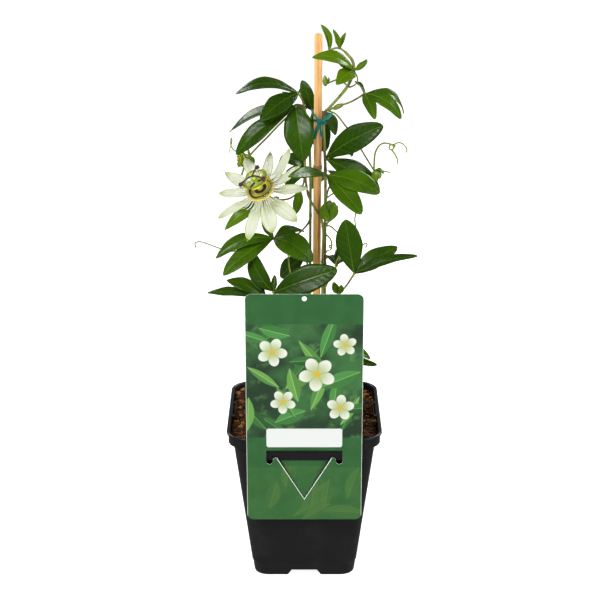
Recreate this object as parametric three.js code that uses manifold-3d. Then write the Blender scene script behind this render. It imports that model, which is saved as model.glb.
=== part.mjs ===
// A passion flower vine tied to a cane in a square nursery pot, with a hanging plant label.
// Millimetres, +Z up. The origin is the centre of the pot's base and -Y is the front.

import * as THREE from 'three';
import { mergeVertices } from 'three/addons/utils/BufferGeometryUtils.js';
import Module from 'manifold-3d';

const wasm = await Module();
wasm.setup();

// ---------------------------------------------------------------- driving dimensions

const GAP = 0.3; // clearance between neighbouring pieces

const POT = {
  height: 159,
  rimHalf: 75, // half of the 150 mm square over the rim
  bandHalf: 73.3, // half of the square over the band below the lip
  wallTopHalf: 68.8,
  baseHalf: 50.5,
  rimRadius: 22,
  baseRadius: 14,
  wall: 1.6,
  lipHeight: 2.4,
  bandHeight: 9.6, // rim top to the ledge between the band and the wall
  skirt: 2, // how far the band's outside hangs below that ledge
  flange: 2,
  footHeight: 6,
  footStepHeight: 14,
  footStep: 0.5,
  floor: 2,
};
const APRON = { width: 92, taper: 5, drop: 22.5, thickness: 1.2 };
const LABEL_SIDES = [0, 2]; // the front and the back have an apron that can hold a label
const SLIT = { width: 54, height: 2.4, drop: 10 }; // drop: rim top to the slit's upper edge
const FOOT_NOTCH = { top: 25, bottom: 35 };
const DRAIN = { radius: 4.5, offset: 30 };
const LEDGE_POCKET = { length: 38, reach: 3, slotLength: 28, slotWidth: 1.8 };

const SOIL_TOP = 153;
const SOIL_ROUGHNESS = 1.6;

const CANE = { radius: 3.9, foot: [10.9, 8, 46], top: [13.2, 10, 530], node: 0.5 };
const CANE_NODES = [0.27, 0.52, 0.74]; // places of the bamboo's nodes along its length

const LABEL = {
  width: 110,
  height: 230,
  bottom: 75,
  corner: 6,
  thickness: 0.8,
  holeRadius: 2.2,
  holeDrop: 4.5,
  slotTop: 147.8,
  slotHalf: 36.5,
  lobe: 6.4,
  lobeBottom: 133.5,
  tongueHalf: 26.5,
  tongueShoulder: 140.5,
  foldHalf: 23.5,
  apex: 97,
  cut: 0.6,
  tongueLean: 0.08, // how fast the tongue's tip comes back to the card, per mm
};

const SMOOTHING = 0.08; // how far a face may move where needless corners are dropped
const BLADE_THICKNESS = 0.8;
const WIDE_BLADE = 18.5; // wider leaflets get finer faces
const PETIOLE_RADIUS = 0.9;
const HUB_RADIUS = 1.5; // the knob where a leaf's leaflets meet
const TENDRIL_RADIUS = 0.7;
const STEM_SIDES = 5;
const STEM_STEP = 10; // length of a stem's straight stretches

const TIE = { height: 450, band: 2.6, thickness: 0.8, knot: 2.6, knotPlace: [14.6, 1.2, 449] };
const TIE_TAIL_FORM = { fullness: 0.4, wave: 0.3, fold: 20, segments: 4 };
const TIE_TAILS = [
  { tip: [9.4, -4, 434], width: 4.4, bow: 1.5, face: [-15, 20] },
  { tip: [16.4, -3, 436], width: 3.4, bow: -1, face: [30, 10] },
  { tip: [6.2, 1.5, 461], width: 2.2, bow: 2, face: [-20, 20] },
  { tip: [26.5, -3, 458], width: 4.6, bow: 1.5, sway: 1, face: [10, 40] },
];

// The flower's own frame has its centre at the corona and its axis along +z.
const FLOWER = { centre: [-39.6, -38, 393.7], turn: -37.6, lift: 52.4 };
const CORONA = { plateThickness: 0.9, filaments: 36, root: 12.9, reach: 27, rise: 8 };
const DISC_RADIUS = 12;
const COLUMN = { radius: 1.7, foot: 3.6, antherHeight: 15.5, antherRadius: 11, ovaryTop: 19.2 };
const ANTHER_AZIMUTHS = [42, 119, 204, 283, 340];
// Each style: degrees round the axis, how far out its stigma is, and its height over the ovary.
const STYLES = [[69, 10.6, -0.2], [207, 13.2, -0.2], [326, 12, 0.4]];

const COLOURS = {
  pot: 0x1d1e20,
  soil: 0x4a2f1e,
  cane: 0xd79a58,
  tie: 0x0d8f80,
  label: 0x3d7a4a,
  stemOld: 0x6b5a36,
  stemYoung: 0x5f8a2a,
  leafDark: 0x2c5a1c,
  leafMid: 0x3a7a1c,
  leafYoung: 0x579a24,
  tepal: 0xe8edd8,
  corona: 0xf4f3e4,
  disc: 0x8c8a20,
  column: 0xa3bf2e,
  style: 0x4a1c2c,
  bud: 0x5f8f22,
};

// ---------------------------------------------------------------- solids

// A closed geometry as a manifold solid with its faces pointing out.
function solid(geometry) {
  const shell = geometry.clone();
  for (const name of Object.keys(shell.attributes)) {
    if (name !== 'position') shell.deleteAttribute(name);
  }
  const merged = mergeVertices(shell, 1e-4);
  const vertProperties = new Float32Array(merged.attributes.position.array);
  const corners = merged.index.array;
  const kept = [];
  for (let i = 0; i < corners.length; i += 3) {
    const [a, b, c] = [corners[i], corners[i + 1], corners[i + 2]];
    if (a !== b && b !== c && c !== a) kept.push(a, b, c);
  }
  const build = (triVerts) => new wasm.Manifold(new wasm.Mesh({ numProp: 3, vertProperties, triVerts }));
  if (signedVolume(vertProperties, kept) >= 0) return build(new Uint32Array(kept));
  for (let i = 0; i < kept.length; i += 3) [kept[i + 1], kept[i + 2]] = [kept[i + 2], kept[i + 1]];
  return build(new Uint32Array(kept));
}

function signedVolume(positions, triangles) {
  const corner = (i) => new THREE.Vector3().fromArray(positions, 3 * triangles[i]);
  let six = 0;
  for (let i = 0; i < triangles.length; i += 3) {
    six += corner(i).dot(corner(i + 1).cross(corner(i + 2)));
  }
  return six / 6;
}

function unite(solids) {
  return solids.reduce((sum, next) => sum.add(next));
}

// The largest connected piece: loose scraps left by a cut are dropped.
function mainPiece(body) {
  const pieces = body.decompose();
  return pieces.reduce((best, next) => (next.volume() > best.volume() ? next : best));
}

function node(name, body, colour, roughness = 0.6) {
  const mesh = mainPiece(body.simplify(SMOOTHING)).getMesh();
  const geometry = new THREE.BufferGeometry();
  geometry.setAttribute('position', new THREE.BufferAttribute(new Float32Array(mesh.vertProperties), 3));
  geometry.setIndex(new THREE.BufferAttribute(new Uint32Array(mesh.triVerts), 1));
  geometry.computeVertexNormals();
  const material = new THREE.MeshStandardMaterial({ color: colour, roughness, metalness: 0 });
  const result = new THREE.Mesh(geometry, material);
  result.name = name;
  return result;
}

function vector([x, y, z]) {
  return new THREE.Vector3(x, y, z);
}

function smoothCurve(points) {
  return new THREE.CatmullRomCurve3(points.map(vector), false, 'centripetal');
}

// A round tube through hand-placed points.
function tube(points, radius, sides = 6, spacing = 6) {
  const path = smoothCurve(points);
  const corners = [];
  for (let i = 0; i < sides; i += 1) {
    const angle = (2 * Math.PI * i) / sides;
    corners.push(new THREE.Vector2(radius * Math.cos(angle), radius * Math.sin(angle)));
  }
  const steps = Math.max(points.length, Math.round(path.getLength() / spacing));
  const settings = { steps, extrudePath: path, bevelEnabled: false };
  return solid(new THREE.ExtrudeGeometry(new THREE.Shape(corners), settings));
}

function box(width, depth, height, centre) {
  return solid(new THREE.BoxGeometry(width, depth, height).translate(...centre));
}

function knob(radius, centre, detail = 0) {
  return solid(new THREE.IcosahedronGeometry(radius, detail).translate(...centre));
}

function cylinder(radius, height, centre, sides) {
  const geometry = new THREE.CylinderGeometry(radius, radius, height, sides).rotateX(Math.PI / 2);
  return solid(geometry.translate(...centre));
}

// A turned body: the profile runs from the axis to the axis as [radius, height] pairs.
function turned(profile, sides) {
  const points = profile.map(([radius, height]) => new THREE.Vector2(radius, height));
  return new THREE.LatheGeometry(points, sides).rotateX(Math.PI / 2);
}

// Puts a geometry made along +z at a place, pointing along a direction.
function aim(geometry, place, direction) {
  const turn = new THREE.Quaternion().setFromUnitVectors(
    new THREE.Vector3(0, 0, 1),
    vector(direction).normalize(),
  );
  return geometry.applyQuaternion(turn).translate(...place);
}

// A body through rings of points that all have the same count; both ends are closed.
function ringBody(rings) {
  const count = rings[0].length;
  const positions = rings.flat(2);
  const triangles = [];
  const at = (ring, i) => ring * count + (i % count);
  for (let ring = 0; ring + 1 < rings.length; ring += 1) {
    for (let i = 0; i < count; i += 1) {
      triangles.push(at(ring, i), at(ring, i + 1), at(ring + 1, i + 1));
      triangles.push(at(ring, i), at(ring + 1, i + 1), at(ring + 1, i));
    }
  }
  for (const [ring, first] of [[0, true], [rings.length - 1, false]]) {
    const middle = positions.length / 3;
    const sum = rings[ring].reduce((s, p) => [s[0] + p[0], s[1] + p[1], s[2] + p[2]], [0, 0, 0]);
    positions.push(sum[0] / count, sum[1] / count, sum[2] / count);
    for (let i = 0; i < count; i += 1) {
      const [a, b] = first ? [at(ring, i + 1), at(ring, i)] : [at(ring, i), at(ring, i + 1)];
      triangles.push(a, b, middle);
    }
  }
  const geometry = new THREE.BufferGeometry();
  geometry.setAttribute('position', new THREE.BufferAttribute(new Float32Array(positions), 3));
  geometry.setIndex(triangles);
  return solid(geometry);
}

// One ring of a square with round corners, at height z.
function squareRing(half, radius, z, cornerSteps = 4) {
  const points = [];
  for (let corner = 0; corner < 4; corner += 1) {
    const [sx, sy] = [[1, -1], [1, 1], [-1, 1], [-1, -1]][corner];
    for (let i = 0; i <= cornerSteps; i += 1) {
      const angle = (corner - 1 + i / cornerSteps) * (Math.PI / 2);
      const x = sx * (half - radius) + radius * Math.cos(angle);
      const y = sy * (half - radius) + radius * Math.sin(angle);
      points.push([x, y, z]);
    }
  }
  return points;
}

function squareBody(levels) {
  return ringBody(levels.map(([half, radius, z]) => squareRing(half, radius, z)));
}

// A thin arched blade from base to tip, the same triangles on both faces.
// face is where the upper side looks: degrees turned to the right of the front, and degrees lifted.
function blade({
  base,
  tip,
  width,
  face,
  bow = 0,
  sway = 0,
  fold = 12,
  fullness = 0.8,
  widest = 1,
  wave = 0.35,
  thickness = BLADE_THICKNESS,
  segments = width > WIDE_BLADE ? 6 : 5,
  across = width > WIDE_BLADE ? 5 : 3,
}) {
  const start = vector(base);
  const chord = vector(tip).sub(start);
  const [turn, lift] = face.map(THREE.MathUtils.degToRad);
  const look = vector([
    Math.sin(turn) * Math.cos(lift),
    -Math.cos(turn) * Math.cos(lift),
    Math.sin(lift),
  ]);
  const along = chord.clone().normalize();
  const normal = look.addScaledVector(along, -look.dot(along)).normalize();
  const side = new THREE.Vector3().crossVectors(along, normal);
  const bend = normal.clone().multiplyScalar(bow).addScaledVector(side, sway);
  const tilt = THREE.MathUtils.degToRad(fold);

  const positions = [];
  const upper = [];
  const lower = [];
  for (let i = 0; i <= segments; i += 1) {
    const t = (1 - Math.cos((Math.PI * i) / segments)) / 2;
    const middle = start.clone().addScaledVector(chord, t).addScaledVector(bend, 4 * t * (1 - t));
    const heading = chord.clone().addScaledVector(bend, 4 * (1 - 2 * t)).normalize();
    const up = normal.clone().addScaledVector(heading, -normal.dot(heading)).normalize();
    const out = new THREE.Vector3().crossVectors(heading, up);
    const half = (width / 2) * Math.sin(Math.PI * t ** widest) ** fullness;
    const atEnd = i === 0 || i === segments;
    upper.push([]);
    lower.push([]);
    for (let k = 0; k < across; k += 1) {
      if (atEnd && k > 0) {
        upper[i].push(upper[i][0]);
        lower[i].push(lower[i][0]);
        continue;
      }
      const u = atEnd ? 0 : (2 * k) / (across - 1) - 1;
      const ripple = wave * Math.sin(9 * t + 2 * Math.sign(u)) * u * u;
      const rise = half * Math.abs(u) * Math.sin(tilt) + ripple;
      const point = middle.clone().addScaledVector(out, half * u * Math.cos(tilt)).addScaledVector(up, rise);
      upper[i].push(positions.length / 3);
      positions.push(...point.clone().addScaledVector(up, thickness / 2).toArray());
      lower[i].push(positions.length / 3);
      positions.push(...point.clone().addScaledVector(up, -thickness / 2).toArray());
    }
  }
  const triangles = [];
  const addFace = (a, b, c) => {
    if (a !== b && b !== c && c !== a) triangles.push(a, b, c);
  };
  for (let i = 0; i < segments; i += 1) {
    for (let k = 0; k + 1 < across; k += 1) {
      addFace(upper[i][k], upper[i + 1][k], upper[i + 1][k + 1]);
      addFace(upper[i][k], upper[i + 1][k + 1], upper[i][k + 1]);
      addFace(lower[i][k], lower[i + 1][k + 1], lower[i + 1][k]);
      addFace(lower[i][k], lower[i][k + 1], lower[i + 1][k + 1]);
    }
    const last = across - 1;
    addFace(upper[i][0], lower[i][0], lower[i + 1][0]);
    addFace(upper[i][0], lower[i + 1][0], upper[i + 1][0]);
    addFace(upper[i][last], lower[i + 1][last], lower[i][last]);
    addFace(upper[i][last], upper[i + 1][last], lower[i + 1][last]);
  }
  const geometry = new THREE.BufferGeometry();
  geometry.setAttribute('position', new THREE.BufferAttribute(new Float32Array(positions), 3));
  geometry.setIndex(triangles);
  return solid(geometry);
}

// Repeatable pseudo-random numbers from 0 to 1.
function seeded(seed) {
  let state = seed;
  return () => {
    state = (state * 1664525 + 1013904223) % 4294967296;
    return state / 4294967296;
  };
}

// ---------------------------------------------------------------- pot, soil, cane, tie, label

const BAND_BOTTOM = POT.height - POT.bandHeight;
const BAND_RADIUS = POT.rimRadius - (POT.rimHalf - POT.bandHalf);
const WALL_RADIUS = POT.rimRadius - (POT.rimHalf - POT.wallTopHalf);

function wallHalf(z) {
  const slope = (POT.wallTopHalf - POT.baseHalf) / BAND_BOTTOM;
  return POT.baseHalf + slope * Math.min(z, BAND_BOTTOM);
}

function makePot() {
  const top = POT.height;
  const insideBottom = POT.footHeight + POT.floor;
  const wall = squareBody([
    [wallHalf(0) - POT.footStep, POT.baseRadius, 0],
    [wallHalf(POT.footStepHeight) - POT.footStep, POT.baseRadius, POT.footStepHeight],
    [wallHalf(POT.footStepHeight), POT.baseRadius, POT.footStepHeight + POT.footStep],
    [POT.wallTopHalf, WALL_RADIUS, BAND_BOTTOM],
    [POT.wallTopHalf, WALL_RADIUS, BAND_BOTTOM + 1],
  ]);
  const band = squareBody([
    [POT.bandHalf, BAND_RADIUS, BAND_BOTTOM - POT.skirt],
    [POT.bandHalf, BAND_RADIUS, top - 1],
  ]);
  const behindSkirt = squareBody([
    [POT.bandHalf - APRON.thickness, BAND_RADIUS - APRON.thickness, BAND_BOTTOM - POT.skirt - 1],
    [POT.bandHalf - APRON.thickness, BAND_RADIUS - APRON.thickness, BAND_BOTTOM],
  ]);
  const lip = squareBody([
    [POT.rimHalf, POT.rimRadius, top - POT.lipHeight],
    [POT.rimHalf, POT.rimRadius, top - 0.6],
    [POT.rimHalf - 0.7, POT.rimRadius, top],
  ]);
  let pot = unite([wall, band.subtract(behindSkirt), lip]);
  for (const sideIndex of LABEL_SIDES) pot = pot.add(onSide(makeApron(), sideIndex));
  const inside = squareBody([
    [wallHalf(insideBottom) - POT.wall, POT.baseRadius - POT.wall, insideBottom],
    [POT.wallTopHalf - POT.wall, WALL_RADIUS - POT.wall, BAND_BOTTOM],
    [POT.wallTopHalf - POT.wall, WALL_RADIUS - POT.wall, BAND_BOTTOM + 2 * POT.wall],
  ]);
  const insideBand = squareBody([
    [POT.bandHalf - POT.wall, BAND_RADIUS - POT.wall, BAND_BOTTOM + POT.wall],
    [POT.bandHalf - POT.wall, BAND_RADIUS - POT.wall, top + 1],
  ]);
  pot = pot.subtract(inside).subtract(insideBand);
  const drain = cylinder(DRAIN.radius, 4 * POT.floor, [0, -DRAIN.offset, insideBottom - POT.floor / 2], 10);
  for (let sideIndex = 0; sideIndex < 4; sideIndex += 1) pot = pot.subtract(onSide(drain, sideIndex));
  for (const sideIndex of LABEL_SIDES) pot = pot.subtract(onSide(makeSlit(), sideIndex));
  for (const sideIndex of [0, 1]) pot = pot.subtract(onSide(makeFootNotch(), sideIndex));
  for (const sideIndex of [1, 3]) pot = pot.add(onSide(makeLedgePocket(), sideIndex));
  return pot;
}

// Turns something made for the front side to one of the pot's four sides.
function onSide(body, sideIndex) {
  return body.rotate([0, 0, 90 * sideIndex]);
}

// The plate that hangs from the band in the middle of a side and holds a label.
function makeApron() {
  const half = APRON.width / 2;
  const bottom = POT.height - APRON.drop;
  const outline = new THREE.Shape([
    new THREE.Vector2(-half + APRON.taper, bottom),
    new THREE.Vector2(half - APRON.taper, bottom),
    new THREE.Vector2(half, BAND_BOTTOM + 1),
    new THREE.Vector2(-half, BAND_BOTTOM + 1),
  ]);
  return uprightPlate(outline, APRON.thickness, -POT.bandHalf);
}

// A plate with its outline in x and z, and its front face at the given y.
function uprightPlate(outline, thickness, front) {
  const settings = { depth: thickness, bevelEnabled: false, curveSegments: 6 };
  const geometry = new THREE.ExtrudeGeometry(outline, settings).rotateX(Math.PI / 2);
  return solid(geometry.translate(0, front + thickness, 0));
}

function makeSlit() {
  const middle = POT.height - SLIT.drop - SLIT.height / 2;
  return box(SLIT.width, APRON.thickness + 2, SLIT.height, [0, -POT.bandHalf + APRON.thickness / 2, middle]);
}

function makeFootNotch() {
  const outline = new THREE.Shape([
    new THREE.Vector2(-FOOT_NOTCH.bottom / 2, -1),
    new THREE.Vector2(FOOT_NOTCH.bottom / 2, -1),
    new THREE.Vector2(FOOT_NOTCH.top / 2, POT.footHeight),
    new THREE.Vector2(-FOOT_NOTCH.top / 2, POT.footHeight),
  ]);
  return uprightPlate(outline, 3 * POT.baseHalf, -1.5 * POT.baseHalf);
}

// A flat loop on the inner edge of the rim's ledge.
function makeLedgePocket() {
  const inner = POT.bandHalf - POT.wall;
  const middle = -inner + LEDGE_POCKET.reach / 2;
  const height = POT.height - POT.flange / 2;
  const tab = box(LEDGE_POCKET.length, LEDGE_POCKET.reach + 2, POT.flange, [0, middle - 1, height]);
  const slot = box(LEDGE_POCKET.slotLength, LEDGE_POCKET.slotWidth, 2 * POT.flange, [0, middle, height]);
  return tab.subtract(slot);
}

// Peat that fills the pot, with an uneven top.
function makeSoil() {
  const bottom = POT.footHeight + POT.floor + GAP;
  const inset = POT.wall + GAP;
  const step = BAND_BOTTOM + POT.wall + GAP;
  const rings = [
    squareRing(wallHalf(bottom) - inset, POT.baseRadius - inset, bottom),
    squareRing(POT.wallTopHalf - inset, WALL_RADIUS - inset, BAND_BOTTOM),
    squareRing(POT.wallTopHalf - inset, WALL_RADIUS - inset, step),
    squareRing(POT.bandHalf - inset, BAND_RADIUS - inset, step + 0.05),
  ];
  const random = seeded(7);
  for (const scale of [1, 0.82, 0.58, 0.3]) {
    const ring = squareRing((POT.bandHalf - inset) * scale, (BAND_RADIUS - inset) * scale, SOIL_TOP);
    rings.push(ring.map(([x, y, z]) => [x, y, z + SOIL_ROUGHNESS * (2 * random() - 1)]));
  }
  return ringBody(rings);
}

// The bamboo cane made along +z from its foot, slightly thicker at its nodes.
function makeCane(extra = 0) {
  const foot = vector(CANE.foot);
  const direction = vector(CANE.top).sub(foot);
  const length = direction.length();
  const radius = CANE.radius + extra;
  const profile = [[0, -extra], [radius - 0.3, -extra]];
  for (const place of CANE_NODES) {
    const height = place * length;
    profile.push([radius, height - 4], [radius + CANE.node, height], [radius - 0.1, height + 2.5]);
  }
  profile.push([radius - 0.1, length - 1], [radius - 0.7, length], [0, length]);
  return solid(aim(turned(profile, 12), CANE.foot, direction.toArray()));
}

// A band pulled round two neighbouring upright rods, as an outline in x and y.
function bandOutline(first, second, spare) {
  const [dx, dy] = [second.x - first.x, second.y - first.y];
  const distance = Math.hypot(dx, dy);
  const heading = Math.atan2(dy, dx);
  const lean = Math.acos((first.radius - second.radius) / distance);
  const points = [];
  const arc = (rod, from, to) => {
    for (let i = 0; i <= 6; i += 1) {
      const angle = from + ((to - from) * i) / 6;
      const reach = rod.radius + spare;
      points.push(new THREE.Vector2(rod.x + reach * Math.cos(angle), rod.y + reach * Math.sin(angle)));
    }
  };
  arc(second, heading - lean, heading + lean);
  arc(first, heading + lean, heading + 2 * Math.PI - lean);
  return points;
}

function makeTie() {
  const share = (TIE.height - CANE.foot[2]) / (CANE.top[2] - CANE.foot[2]);
  const cane = {
    x: THREE.MathUtils.lerp(CANE.foot[0], CANE.top[0], share),
    y: THREE.MathUtils.lerp(CANE.foot[1], CANE.top[1], share),
    radius: CANE.radius,
  };
  const stem = { x: TIED_STEM[0], y: TIED_STEM[1], radius: STEMS.stem_right.radius };
  const outline = new THREE.Shape(bandOutline(cane, stem, GAP + TIE.thickness));
  outline.holes.push(new THREE.Path(bandOutline(cane, stem, GAP)));
  const loop = new THREE.ExtrudeGeometry(outline, { depth: TIE.band, bevelEnabled: false });
  loop.translate(0, 0, TIE.height - TIE.band / 2);
  const parts = [solid(loop), knob(TIE.knot, TIE.knotPlace)];
  for (const tail of TIE_TAILS) {
    parts.push(blade({ base: TIE.knotPlace, ...tail, ...TIE_TAIL_FORM }));
  }
  return unite(parts);
}

function labelOutline() {
  const half = LABEL.width / 2;
  const top = LABEL.bottom + LABEL.height;
  const r = LABEL.corner;
  const outline = new THREE.Shape();
  outline.moveTo(-half + r, LABEL.bottom);
  outline.lineTo(half - r, LABEL.bottom);
  outline.absarc(half - r, LABEL.bottom + r, r, -Math.PI / 2, 0);
  outline.lineTo(half, top - r);
  outline.absarc(half - r, top - r, r, 0, Math.PI / 2);
  outline.lineTo(-half + r, top);
  outline.absarc(-half + r, top - r, r, Math.PI / 2, Math.PI);
  outline.lineTo(-half, LABEL.bottom + r);
  outline.absarc(-half + r, LABEL.bottom + r, r, Math.PI, 1.5 * Math.PI);
  const hole = new THREE.Path();
  hole.absarc(0, top - LABEL.holeDrop, LABEL.holeRadius, 0, 2 * Math.PI, true);
  outline.holes.push(hole);
  outline.holes.push(labelCutout());
  return outline;
}

// The opening that the tongue is folded out of: a slot with two round lobes and a V.
function labelCutout() {
  const { slotTop, slotHalf, lobe, lobeBottom, tongueHalf, tongueShoulder, apex } = LABEL;
  const r = lobe / 2;
  const cutout = new THREE.Path();
  cutout.moveTo(-slotHalf, slotTop);
  cutout.lineTo(-slotHalf, lobeBottom + r);
  cutout.absarc(-slotHalf + r, lobeBottom + r, r, Math.PI, 2 * Math.PI);
  cutout.lineTo(-tongueHalf, tongueShoulder);
  cutout.lineTo(0, apex);
  cutout.lineTo(tongueHalf, tongueShoulder);
  cutout.lineTo(slotHalf - lobe, lobeBottom + r);
  cutout.absarc(slotHalf - r, lobeBottom + r, r, Math.PI, 2 * Math.PI);
  cutout.lineTo(slotHalf, slotTop);
  return cutout;
}

// The label: its body hangs before the apron, and its tongue goes through the slit and down behind it.
// Below the apron the tongue's tip leans forward again, into its own cut.
function makeLabel() {
  const { thickness, slotTop, tongueHalf, tongueShoulder, foldHalf, apex, cut, tongueLean } = LABEL;
  const front = -POT.rimHalf - GAP - thickness;
  const behind = -POT.bandHalf + APRON.thickness + 2 * GAP;
  const body = uprightPlate(labelOutline(), thickness, front);
  const depth = behind + thickness - front;
  const fold = box(2 * foldHalf, depth, thickness, [0, front + depth / 2, slotTop + thickness / 2 - 0.2]);
  const upperHeight = slotTop + thickness / 2 - tongueShoulder + 1;
  const upperMiddle = [0, behind + thickness / 2, tongueShoulder - 1 + upperHeight / 2];
  const upper = box(2 * foldHalf, thickness, upperHeight, upperMiddle);
  const outline = new THREE.Shape([
    new THREE.Vector2(-tongueHalf + cut, tongueShoulder),
    new THREE.Vector2(0, apex + cut),
    new THREE.Vector2(tongueHalf - cut, tongueShoulder),
  ]);
  const tip = uprightPlate(outline, thickness, behind).warp((point) => {
    point[1] -= (tongueShoulder - point[2]) * tongueLean;
  });
  return unite([body, fold, upper, tip]);
}

// ---------------------------------------------------------------- the plant's layout

const SOIL_DEPTH = 128; // height of the stems' feet, well below the soil's top
const TIED_STEM = [18.2, 3.2];

const STEMS = {
  stem_right: {
    radius: 1.4,
    path: [
      [22, 6, SOIL_DEPTH], [22, 6, 150], [21.5, 5, 200], [20.4, 4.6, 250], [20, 4.5, 300], [20, 4.5, 350],
      [20, 4.5, 400], [19, 4, 425], [...TIED_STEM, 441], [...TIED_STEM, 456], [23, -2, 463],
      [31, -7, 473], [39, -11.5, 484], [43, -13, 492], [45.5, -13, 500], [44, -11.5, 509],
      [38, -9.5, 516],
    ],
    tendrils: [
      [[40, -12, 484.5], [44, -16, 486], [48.5, -17, 490], [48, -15, 496], [45.5, -13, 498]],
      [
        [20, 4.5, 348], [26, 0, 350], [33, -4, 343], [38, -5, 335], [39, -6, 325], [35, -8, 318],
        [31, -10, 309],
      ],
      [[20, 4.5, 338], [26, -1, 338], [29, -3, 333], [28.5, -4, 327], [25, -3, 323], [23.5, -2, 321]],
      [[20, 4.5, 374], [33, 6, 381], [46, 0, 377], [49.5, -6, 367], [48, -9, 358], [49, -10, 350]],
    ],
  },
  stem_left: {
    radius: 1.3,
    path: [
      [4, 14, SOIL_DEPTH], [4, 14, 150], [5, 12, 220], [5.6, 11, 300], [5.8, 10, 350], [5.8, 9.5, 400],
      [4.5, 8, 430], [2, 5, 450], [0, 2, 462],
    ],
    tendrils: [],
  },
  stem_twining: {
    radius: 1.2,
    path: [
      [14, -4, SOIL_DEPTH], [14, -4, 150], [16, -2, 200], [17.4, 0, 260], [17.6, 0.5, 320], [18.2, 0, 343],
      [16.4, -1.6, 355], [11, -1.2, 365], [5, 2.4, 375], [1.6, 4, 390], [0.6, 3.6, 410], [0, 1.5, 430],
      [-1.5, -2, 446],
    ],
    tendrils: [
      [[16, -2, 205], [2, -12, 240], [-8, -20, 280], [-13, -22, 305], [-15, -19, 320], [-16, -20, 332]],
    ],
  },
};

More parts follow.
